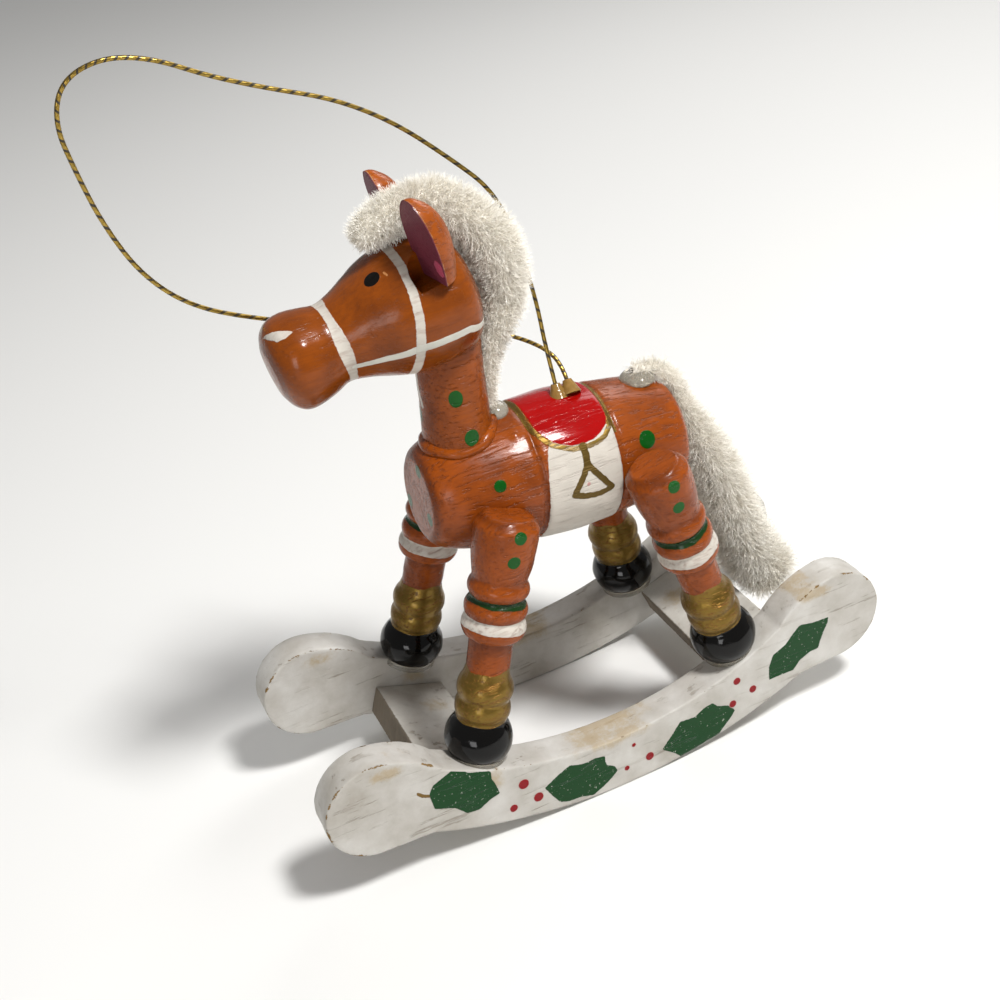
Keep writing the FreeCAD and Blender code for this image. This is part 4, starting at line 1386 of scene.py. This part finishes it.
# ------------------------------------------------------------------ head and ears
@dataclass(frozen=True)
class Head:
    """The turned head with its two drilled ear pockets and painted bridle."""

    turning: Turning = Turning(
        (6.8, 0.0, 88.15), (math.cos(math.radians(9.3)), 0.0, -math.sin(math.radians(9.3))),
        (0.0, 0.0, 1.0), (
            (Run.STRAIGHT, ((0.0, 0.0), (0.0, 6.2), (0.4, 7.0))),
            (Run.FLOW, ((0.4, 7.0), (1.3, 8.5), (2.9, 9.6), (5.6, 10.1), (8.3, 10.25), (11.1, 10.0),
                        (13.9, 9.3), (16.7, 8.1), (19.5, 6.95), (22.2, 6.3), (24.6, 6.9), (27.4, 7.45),
                        (29.6, 7.2), (31.2, 5.9), (32.1, 3.9))),
            (Run.STRAIGHT, ((32.1, 3.9), (32.3, 1.8), (32.3, 0.0)))), step=0.25, columns=260)
    reach: float = 9.2
    cheek: Tuple[Pair, ...] = (
        (9.5, -2), (9.5, 33), (9.95, 57), (10.65, 77), (11.8, 101), (12.8, 124), (13.6, 150), (13.8, 182))
    rein: Tuple[Pair, ...] = (
        (21.2, 110), (19.0, 110), (16.4, 108), (12.1, 105), (7.5, 107.5), (4.0, 110), (0.9, 122))
    nostril: Tuple[Pair, ...] = (
        (31.3, 4), (30.4, 14), (29.4, 21), (27.2, 33), (28.8, 36.5), (30.0, 34), (30.9, 20))
    pocket_foot: Triple = (13.49, 7.42, 92.32)
    pocket_axis: Triple = (0.196, 0.092, 0.976)
    pocket_radius: float = 3.3
    pocket_depth: float = 12.0

    def drill(self, piece: bpy.types.Object) -> None:
        """Cut both ear pockets.

        Args:
            piece: the head.
        """
        for side in (1, -1):
            axis = Vector((self.pocket_axis[0], self.pocket_axis[1] * side, self.pocket_axis[2])).normalized()
            bit = bmesh.new()
            bmesh.ops.create_cone(bit, cap_ends=True, segments=64, radius1=self.pocket_radius * MM,
                                  radius2=self.pocket_radius * MM, depth=self.pocket_depth * MM)
            foot = Vector((self.pocket_foot[0], self.pocket_foot[1] * side, self.pocket_foot[2]))
            centre = (foot + axis * self.pocket_depth / 2) * MM
            bit.transform(Matrix.Translation(centre) @ axis.to_track_quat("Z", "Y").to_matrix().to_4x4())
            mesh = bpy.data.meshes.new("drill_bit")
            bit.to_mesh(mesh)
            bit.free()
            tool = bpy.data.objects.new("drill_bit", mesh)
            bpy.context.scene.collection.objects.link(tool)
            cut = piece.modifiers.new("ear_pocket", "BOOLEAN")
            cut.operation = "DIFFERENCE"
            cut.solver = "EXACT"
            cut.object = tool
            bpy.context.view_layer.update()
            done = bpy.data.meshes.new_from_object(piece.evaluated_get(bpy.context.evaluated_depsgraph_get()))
            piece.modifiers.remove(cut)
            piece.data = done
            bpy.data.objects.remove(tool)

    def build(self) -> None:
        """Turn, drill, paint and dress the head."""
        lump = self.turning.place(27.3, 55)
        drip = lambda p: 0.22 * np.exp(-(np.linalg.norm(p - lump, axis=1) / 1.4) ** 2)
        relief = lambda p: ripple(p, 6.0, 2.2) * 0.06 + drip(p)
        piece = self.turning.spin("head_turned", relief)
        self.drill(piece)
        points = points_of(piece)
        s, angle, radius = self.turning.read(points)
        arc = math.radians(1) * self.reach
        t = np.abs(angle) * arc
        unroll = lambda shape: [(a, b * arc) for a, b in shape]
        line = self.turning.outline()
        sunk = np.where(np.interp(s, line[:, 0], line[:, 1]) - radius > 0.5, UNPAINTED, 0.0)
        right_only = np.where(angle > 0, UNPAINTED, 0.0)
        eye = np.hypot((s - 13.95) / 1.22, (t - 26 * arc) / 1.12)
        noseband = np.abs(s - 21.85) - 0.8 + 0.20 * np.sin(angle / 17.0)
        bands = np.minimum(noseband, off_path(s, t, unroll(self.cheek)) - 0.68)
        write_fields(piece, {
            "bands": bands + sunk,
            "rein": off_path(s, t, unroll(self.rein)) - 0.6 + sunk,
            "nostril": off_patch(s, t, unroll(self.nostril)) + sunk,
            "eye": (eye - 1) * 1.15 + sunk,
            "glint": off_path(s, t, ((12.05, 28 * arc), (11.9, 32 * arc))) - 0.16 + sunk,
            "seam": off_path(s, t, ((20.0, 17 * arc), (12.5, 12 * arc))) - 0.14 + right_only,
            "hollow": self.turning.hollow(points)})
        # Painted shade: the head's enamel and deep colours are set darker than the barrel's orange, a shaded
        # copy of the same enamel.
        finish = BrushedEnamel("shaded_orange_enamel_on_turned_beech_head", "#874109", "#5c2906", roughness=0.20,
                               grain=0.7, ridge=0.030, axis=self.turning.axis, layers=(
            Layer("seam", "#5d4a1c", 0.45, 0.03, 0.05),
            Layer("nostril", WHITE_PAINT, 0.35, 0.06, 0.14, 0.06, thin=0.2),
            Layer("bands", WHITE_PAINT, 0.36, 0.05, 0.16, 0.07, thin=0.3),
            Layer("rein", "#cfcdc2", 0.34, 0.07, 0.09, 0.05),
            Layer("glint", "#c98a52", 0.3, 0.02, 0.06),
            Layer("eye", "#0b0806", 0.12, 0.08, 0.02, 0.03, level=0.9)), chips=False).make()
        dress(piece, finish, "orange_enamel", "head")
        LOG.info("head_turned: %d points", len(points))


@dataclass(frozen=True)
class Ears:
    """Two half-turned teardrops: plum on the flat front, orange behind."""

    foot: Triple = (13.49, 7.42, 92.32)
    axis: Triple = (0.196, 0.092, 0.976)
    turns: Pair = (10.0, 0.0)
    section: Tuple[Tuple[Run, Tuple[Pair, ...]], ...] = (
        (Run.FLOW, ((0.1, 3.15), (2.5, 3.8), (5.8, 4.25), (9.0, 4.0), (11.5, 3.0), (13.0, 1.7))),
        (Run.BEAD, ((13.0, 1.7), (13.5, 1.1), (13.7, 0.4))))

    def build_one(self, name: str, side: int, turn: float) -> bpy.types.Object:
        """One ear.

        Args:
            name: the object's name.
            side: 1 for the left, -1 for the right.
            turn: degrees that its face looks away from straight ahead.

        Returns:
            The ear.
        """
        lathe = Turning(self.foot, self.axis, (1.0, 0.0, 0.0), self.section, step=0.3)
        base, axis, zero, out = lathe.frame_of()
        face_turn = math.radians(turn)
        front = math.cos(face_turn) * zero + math.sin(face_turn) * out
        width = np.cross(axis, front)
        rows = lathe.outline()
        arc_count, flat_count = 44, 30
        points: List[np.ndarray] = []
        depth: List[float] = []
        blob: List[float] = []
        for station, radius in rows:
            centre = base + station * axis
            soft = min(0.35, radius * 0.4)
            for j in range(arc_count):
                a = math.pi * j / (arc_count - 1)
                w, d = radius * math.cos(a), -radius * math.sin(a)
                points.append(centre + w * width + d * front)
                depth.append(radius * min(a, math.pi - a) - 0.15)
                blob.append(UNPAINTED)
            for j in range(1, flat_count):
                w = -radius + 2 * radius * j / flat_count
                gap = radius - abs(w)
                lift = -soft * 0.5 * max(0.0, 1 - gap / soft) ** 2
                points.append(centre + w * width + lift * front)
                depth.append(-gap - 0.15)
                blob.append(math.hypot((station - 3.0) / 1.4, (w - 2.7) / 1.2) - 1.0)
        ring = arc_count + flat_count - 1
        points.append(base + rows[0][0] * axis - front)
        points.append(base + (rows[-1][0] + 0.05) * axis - 0.1 * front)
        depth += [1.0, 0.5]
        blob += [UNPAINTED, UNPAINTED]
        array = np.array(points)
        array[:, 1] *= side
        piece = solid(name, array, tube_faces(len(rows), ring), sharp=60.0)
        write_fields(piece, {"plum": np.array(depth), "blob": np.array(blob), "hollow": np.zeros(len(array)),
                             "worn": np.abs(np.array(depth) + 0.1) - 0.16})
        return piece

    def build(self) -> None:
        """Make and dress both ears."""
        finish = BrushedEnamel("orange_enamel_on_split_turned_ear", "#a04e0f", "#6c3009", 0.28,
                               axis=self.axis, layers=(
            Layer("worn", "#b59a5c", 0.5, 0.02, 0.20, 0.05, thin=0.9),
            Layer("plum", "#6c2c3a", 0.55, 0.04, 0.08, 0.05),
            Layer("blob", "#b85068", 0.3, 0.10, 0.2, 0.08)), chips=False).make()
        for name, node, side, turn in (("left_ear_half_turned", "left_ear", 1, self.turns[0]),
                                       ("right_ear_half_turned", "right_ear", -1, self.turns[1])):
            dress(self.build_one(name, side, turn), finish, "orange_enamel", node)
        LOG.info("ears: 2")


# ------------------------------------------------------------------ legs
@dataclass(frozen=True)
class Legs:
    """Four legs off the lathe: black hoof, gilt fetlock, orange shank, banded knee, dotted thigh."""

    section: Tuple[Tuple[Run, Tuple[Pair, ...]], ...] = (
        (Run.STRAIGHT, ((0.0, 0.0), (0.0, 4.3))),
        (Run.BEAD, ((0.0, 4.3), (2.9, 5.6), (6.3, 4.2))),
        (Run.STRAIGHT, ((6.3, 4.2), (6.6, 4.0))),
        (Run.BEAD, ((6.6, 4.0), (8.4, 4.55), (9.9, 4.1))),
        (Run.BEAD, ((9.9, 4.1), (11.8, 4.6), (13.4, 3.9))),
        (Run.STRAIGHT, ((13.4, 3.9), (14.8, 3.5), (20.0, 3.6), (20.2, 4.5))),
        (Run.BEAD, ((20.2, 4.5), (22.0, 5.2), (23.6, 4.6))),
        (Run.BEAD, ((23.6, 4.6), (25.0, 5.1), (26.3, 4.6))),
        (Run.STRAIGHT, ((26.3, 4.6), (26.8, 4.2), (27.3, 4.5))),
        (Run.BEAD, ((27.3, 4.5), (28.5, 5.0), (29.7, 4.5))),
        (Run.STRAIGHT, ((29.7, 4.5), (30.1, 4.4))),
        (Run.FLOW, ((30.1, 4.4), (33.0, 4.9), (36.5, 5.2), (39.6, 5.2))),
        (Run.STRAIGHT, ((39.6, 5.2), (41.4, 3.9), (41.4, 0.0))))
    # node, foot, axis, how much higher the rings are, seed
    stances: Tuple[Tuple[str, Triple, Triple, float, float], ...] = (
        ("front_left_leg", (23.9, 15.4, 15.0), (-0.319, -0.058, 0.946), 0.9, 0.0),
        ("front_right_leg", (23.9, -15.4, 15.0), (-0.319, 0.058, 0.946), 0.9, 1.0),
        ("rear_left_leg", (-23.75, 15.1, 15.0), (0.248, 0.012, 0.969), 1.2, 2.0),
        ("rear_right_leg", (-19.8, -14.9, 13.5), (0.13, 0.05, 0.984), 0.5, 3.0))

    def raised(self, station: float, rise: float) -> float:
        """Where a station of the pattern leg comes on a leg whose rings were cut higher.

        Args:
            station: distance up the pattern leg.
            rise: how much higher the rings are.

        Returns:
            Distance up this leg.
        """
        share = np.interp(station, (0.0, 6.3, 20.0, 30.1, 41.4), (0.0, 0.15, 1.0, 1.0, 0.0))
        return station + rise * float(share)

    def build(self) -> None:
        """Turn, paint and dress the four legs."""
        for node, foot, up, rise, seed in self.stances:
            section = tuple((run, tuple((self.raised(a, rise), r) for a, r in stations))
                            for run, stations in self.section)
            turning = Turning(foot, up, (1.0, 0.0, 0.0), section, step=0.24, columns=128)
            name = node + "_turned"
            piece = turning.spin(name, lambda p: ripple(p, 3.5, seed) * 0.05)
            points = points_of(piece)
            s, angle, _ = turning.read(points)
            wave = (0.22 * np.sin(np.radians(angle) * 2 + seed)
                    + 0.12 * np.sin(np.radians(angle) * 5 + 2 * seed))
            band = lambda low, high: np.maximum(low + rise - s, s - high - rise) + wave * 0.6
            dots = np.full(len(s), FAR)
            side = 1 if foot[1] > 0 else -1
            for station, turn in ((39.4, 92), (35.4, 86)):
                away = np.linalg.norm(points - turning.place(station, turn * side), axis=1)
                dots = np.minimum(dots, away - 1.05)
            write_fields(piece, {
                "hoof": s - 6.65 + wave * 0.5, "fetlock": s - self.raised(15.0, rise) + wave * 1.4,
                "ring": band(22.0, 23.9), "groove": band(26.15, 27.35), "dots": dots,
                "hollow": turning.hollow(points)})
            finish = BrushedEnamel("orange_enamel_on_" + name, ORANGE, RUSSET, grain=0.45, ridge=0.07,
                                   axis=up, layers=(
                Layer("ring", WHITE_PAINT, 0.36, 0.05, 0.14, 0.06, thin=0.35),
                Layer("groove", "#12320f", 0.25, 0.02, 0.12, 0.06),
                Layer("fetlock", GILT_PAINT, 0.34, 0.05, 0.20, 0.08, metallic=0.85, thin=0.35),
                Layer("hoof", "#080706", 0.08, 0.06, 0.05, 0.04, level=0.92),
                Layer("dots", GREEN_PAINT, 0.22, 0.05, 0.05, 0.04))).make()
            dress(piece, finish, "orange_enamel", node)
        LOG.info("legs: %d", len(self.stances))


# ------------------------------------------------------------------ chenille
class PileTree:
    """Geometry Nodes that stand short bent fibres on a stem's core."""

    def __init__(self, finish: bpy.types.Material) -> None:
        """Build the tree.

        Args:
            finish: the material set on the fibres.
        """
        tree = bpy.data.node_groups.new("clipped_pile_fibres", "GeometryNodeTree")
        face = tree.interface
        face.new_socket(name="Geometry", in_out="OUTPUT", socket_type="NodeSocketGeometry")
        face.new_socket(name="Geometry", in_out="INPUT", socket_type="NodeSocketGeometry")
        self.sockets: Dict[str, str] = {}
        for label, kind in (("Fibres per square metre", "NodeSocketFloat"),
                            ("Fibre thickness", "NodeSocketFloat"), ("Lean", "NodeSocketFloat"),
                            ("Bend", "NodeSocketFloat"), ("Seed", "NodeSocketInt")):
            self.sockets[label] = face.new_socket(name=label, in_out="INPUT", socket_type=kind).identifier
        start = add_node(tree, "NodeGroupInput").outputs
        points = add_node(tree, "GeometryNodeDistributePointsOnFaces", {"distribute_method": "RANDOM"}, {
            "Mesh": start["Geometry"], "Density": start["Fibres per square metre"], "Seed": start["Seed"]})
        blade = add_node(tree, "GeometryNodeMeshCone", {"fill_type": "NGON"}, {
            "Vertices": 3, "Side Segments": 2, "Radius Top": 0.35, "Radius Bottom": 1.0,
            "Depth": 1.0}).outputs[0]
        place = add_node(tree, "GeometryNodeInputPosition").outputs[0]
        height = add_node(tree, "ShaderNodeSeparateXYZ", None, {0: place})
        stored = {"data_type": "FLOAT", "domain": "POINT"}
        marked = add_node(tree, "GeometryNodeStoreNamedAttribute", stored, {
            "Geometry": blade, "Name": "tip", "Value": height.outputs[2]}).outputs[0]
        lean = start["Lean"]
        back = add_node(tree, "ShaderNodeMath", {"operation": "MULTIPLY"}, {0: lean, 1: -1.0}).outputs[0]
        low = add_node(tree, "ShaderNodeCombineXYZ", None, {0: back, 1: back, 2: -3.1}).outputs[0]
        high = add_node(tree, "ShaderNodeCombineXYZ", None, {0: lean, 1: lean, 2: 3.1}).outputs[0]
        tilt = add_node(tree, "FunctionNodeRandomValue", {"data_type": "FLOAT_VECTOR"}, {
            0: low, 1: high, "Seed": start["Seed"]}).outputs[0]
        tipped = add_node(tree, "FunctionNodeEulerToRotation", None, {0: tilt}).outputs[0]
        turn = add_node(tree, "FunctionNodeRotateRotation", {"rotation_space": "LOCAL"}, {
            "Rotation": points.outputs["Rotation"], "Rotate By": tipped}).outputs[0]
        pile = add_node(tree, "GeometryNodeInputNamedAttribute", {"data_type": "FLOAT"}, {
            "Name": "pile"}).outputs[0]
        vary = add_node(tree, "FunctionNodeRandomValue", {"data_type": "FLOAT"}, {
            2: 0.55, 3: 1.15, "Seed": 7}).outputs[1]
        long = add_node(tree, "ShaderNodeMath", {"operation": "MULTIPLY"}, {0: pile, 1: vary}).outputs[0]
        size = add_node(tree, "ShaderNodeCombineXYZ", None, {
            0: start["Fibre thickness"], 1: start["Fibre thickness"], 2: long}).outputs[0]
        stood = add_node(tree, "GeometryNodeInstanceOnPoints", None, {
            "Points": points.outputs["Points"], "Instance": marked, "Rotation": turn,
            "Scale": size}).outputs[0]
        real = add_node(tree, "GeometryNodeRealizeInstances", None, {"Geometry": stood}).outputs[0]
        tip = add_node(tree, "GeometryNodeInputNamedAttribute", {"data_type": "FLOAT"}, {
            "Name": "tip"}).outputs[0]
        field = add_node(tree, "ShaderNodeTexNoise", None, {
            "Vector": place, "Scale": 700.0, "Detail": 2.0}).outputs["Color"]
        centred = add_node(tree, "ShaderNodeVectorMath", {"operation": "SUBTRACT"}, {
            0: field, 1: (0.5, 0.5, 0.5)}).outputs[0]
        amount = add_node(tree, "ShaderNodeMath", {"operation": "MULTIPLY"}, {
            0: tip, 1: start["Bend"]}).outputs[0]
        shift = add_node(tree, "ShaderNodeVectorMath", {"operation": "SCALE"}, {
            0: centred, "Scale": amount}).outputs[0]
        bent = add_node(tree, "GeometryNodeSetPosition", None, {"Geometry": real, "Offset": shift}).outputs[0]
        done = add_node(tree, "GeometryNodeSetMaterial", None, {
            "Geometry": bent, "Material": finish}).outputs[0]
        add_node(tree, "NodeGroupOutput", None, {"Geometry": done})
        self.tree = tree

    def stand_on(self, core: bpy.types.Object, name: str, density: float, thickness: float,
                 seed: int) -> bpy.types.Object:
        """Grow one lot of fibres on a core as a plain mesh.

        Args:
            core: the stem's core.
            name: the new object's name.
            density: fibres a square millimetre.
            thickness: fibre radius at its root in millimetres.
            seed: fixes the pattern.

        Returns:
            The fibres' object.
        """
        grow = core.modifiers.new("pile", "NODES")
        grow.node_group = self.tree
        for label, value in (("Fibres per square metre", density * 1e6), ("Fibre thickness", thickness * MM),
                             ("Lean", 0.75), ("Bend", 0.9 * MM), ("Seed", seed)):
            grow[self.sockets[label]] = value
        bpy.context.view_layer.update()
        mesh = bpy.data.meshes.new_from_object(core.evaluated_get(bpy.context.evaluated_depsgraph_get()))
        core.modifiers.remove(grow)
        mesh.name = name
        fibres = bpy.data.objects.new(name, mesh)
        bpy.context.scene.collection.objects.link(fibres)
        LOG.info("%s: %d triangles", name, len(mesh.polygons) * 2)
        return fibres


@dataclass(frozen=True)
class ChenilleStem:
    """A chenille stem: clipped pile standing out from a twisted wire."""

    name: str
    node: str
    line: Tuple[Tuple[float, float, float, float], ...]
    lots: int = 2
    density: float = 11.0
    core_share: float = 0.68
    fluff: float = 0.45
    dome_share: float = 0.45
    thickness: float = 0.042

    def sampled(self, step: float = 0.35) -> Tuple[np.ndarray, np.ndarray]:
        """Close centre points and pile radii along the stem.

        Args:
            step: spacing in millimetres.

        Returns:
            Centres and radii.
        """
        knots = np.array(self.line, float)
        ends = np.vstack([2 * knots[0] - knots[1], knots, 2 * knots[-1] - knots[-2]])
        rows: List[np.ndarray] = []
        for p0, p1, p2, p3 in zip(ends, ends[1:], ends[2:], ends[3:]):
            count = max(2, int(np.linalg.norm(p2[:3] - p1[:3]) / step))
            for k in range(count):
                t = k / count
                rows.append(0.5 * (2 * p1 + (p2 - p0) * t + (2 * p0 - 5 * p1 + 4 * p2 - p3) * t * t
                                   + (3 * p1 - p0 - 3 * p2 + p3) * t ** 3))
        rows.append(knots[-1])
        table = np.array(rows)
        return table[:, :3], table[:, 3]

    def core(self) -> bpy.types.Object:
        """The dense inner part of the pile as a lumpy closed tube with domed ends.

        Returns:
            The core, with the fibre length at each point stored as "pile".
        """
        centres, radii = self.sampled()
        way = np.gradient(centres, axis=0)
        way /= np.linalg.norm(way, axis=1)[:, None]
        side = np.array([0.0, 1.0, 0.0])
        around = 56
        dome = 7
        rings: List[Tuple[np.ndarray, np.ndarray, float]] = []
        share = self.core_share
        for k in range(dome, 0, -1):
            a = math.pi / 2 * k / (dome + 0.5)
            tip = centres[0] - way[0] * radii[0] * self.dome_share * math.sin(a)
            rings.append((tip, way[0], radii[0] * share * math.cos(a)))
        rings += [(c, w, r * share) for c, w, r in zip(centres, way, radii)]
        for k in range(1, dome + 1):
            a = math.pi / 2 * k / (dome + 0.5)
            tip = centres[-1] + way[-1] * radii[-1] * self.dome_share * math.sin(a)
            rings.append((tip, way[-1], radii[-1] * share * math.cos(a)))
        points: List[np.ndarray] = []
        pile: List[float] = []
        for centre, along, radius in rings:
            one = unit(side - np.dot(side, along) * along)
            two = np.cross(along, one)
            for j in range(around):
                a = 2 * math.pi * j / around
                points.append(centre + radius * (math.cos(a) * one + math.sin(a) * two))
                pile.append(radius)
        array = np.array(points)
        inward = np.repeat(np.array([c for c, _, _ in rings]), around, axis=0)
        out = array - inward
        lump = (ripple(array, 5.0, 0.4) * 0.09 + ripple(array, 2.2, 2.4) * 0.06
                + ripple(array, 1.1, 4.1) * 0.03)
        array = inward + out * (1 + lump[:, None])
        array = np.vstack([array, rings[0][0] - rings[0][1] * 0.05, rings[-1][0] + rings[-1][1] * 0.05])
        piece = solid(self.name + "_core", array, tube_faces(len(rings), around))
        reach = np.array(pile + [1.0, 1.0])
        # The core's low tip value gives it the greyer root colour: painted shade inside the pile.
        write_fields(piece, {"pile": (self.fluff + reach * 0.50) * MM, "tip": np.full(len(array), 0.15)})
        return piece

    def build(self, tree: PileTree, finish: bpy.types.Material) -> None:
        """Make the core, grow the fibres and dress them.

        Args:
            tree: the fibre tree.
            finish: the pile's material.
        """
        core = self.core()
        lots = [tree.stand_on(core, "%s_pile_%d" % (self.name, k + 1), self.density,
                              self.thickness, 11 + 5 * k)
                for k in range(self.lots)]
        dress(core, finish, "chenille", self.node)
        for lot in lots:
            dress(lot, finish, "chenille", self.node)


MANE = ChenilleStem("mane_chenille", "mane", (
    (21.0, 0.0, 99.3, 2.9), (18.2, 0.0, 100.6, 3.6), (14.3, 0.0, 101.5, 3.9), (10.0, 0.0, 101.4, 4.2),
    (6.4, 0.0, 98.9, 4.5), (3.2, 0.0, 95.4, 4.9), (1.3, 0.0, 91.4, 5.1), (0.9, 0.0, 87.2, 4.9),
    (1.9, 0.0, 83.0, 4.4), (3.6, 0.0, 78.8, 3.6), (5.4, 0.0, 74.4, 2.6), (6.0, 0.0, 70.0, 2.0),
    (6.5, 0.0, 66.3, 1.5)), lots=2)
TAIL = ChenilleStem("tail_chenille", "tail", (
    (-19.7, 0.0, 63.3, 1.2), (-23.5, 0.0, 62.2, 1.6), (-25.8, 0.0, 59.5, 1.8), (-27.0, 0.0, 55.5, 2.1),
    (-28.6, 0.0, 50.4, 2.9), (-30.9, 0.0, 44.5, 3.7), (-33.0, 0.0, 37.9, 4.2), (-34.8, 0.0, 31.6, 4.3),
    (-36.6, -0.3, 25.2, 4.3), (-38.8, -0.3, 19.0, 4.7),
    (-41.3, 0.9, 15.7, 4.6)), lots=2, core_share=0.82, fluff=0.9)


# ------------------------------------------------------------------ small parts
@dataclass(frozen=True)
class WireAndGlue:
    """The wire cores and the dabs of glue, whose CAD shapes stay."""

    wires: Tuple[str, ...] = ("mane_wire", "tail_wire")
    clear: Tuple[str, ...] = ("mane_glue", "tail_glue", "hoof_glue")
    amber: Tuple[str, ...] = ("cord_glue",)

    def build(self) -> None:
        """Dress the small parts."""
        steel = Plain("drawn_dark_steel_wire", "#3a3630", "#6d665c", 0.35, 0.4, metallic=1.0).make()
        glue = Plain("clear_hide_glue", "#e9e4d8", "#c9bfa8", 0.08, 1.5, clear=0.75, relief=0.08).make()
        amber = Plain("amber_thread_glue", "#b08a4a", "#7d5c26", 0.15, 0.9, clear=0.25, relief=0.10).make()
        for names, finish in ((self.wires, steel), (self.clear, glue), (self.amber, amber)):
            for name in names:
                node = frame["nodes"][name]
                node.data.materials.clear()
                node.data.materials.append(finish)
        LOG.info("wire and glue: %d pieces", len(self.wires + self.clear + self.amber))


def main() -> None:
    """Build every part of the ornament in order."""
    studio = Studio()
    studio.camera()
    thread = GoldThread().build()
    LOG.info("%s laid", thread.name)
    RockerPair().build()
    CrossBoards().build()
    barrel = Barrel()
    barrel.build()
    NeckAndCollar().build(barrel.turning)
    Head().build()
    Ears().build()
    Legs().build()
    pile = ClippedPile("clipped_rayon_chenille").make()
    tree = PileTree(pile)
    MANE.build(tree, pile)
    TAIL.build(tree, pile)
    WireAndGlue().build()
    studio.build()


if __name__ == "__main__":
    main()
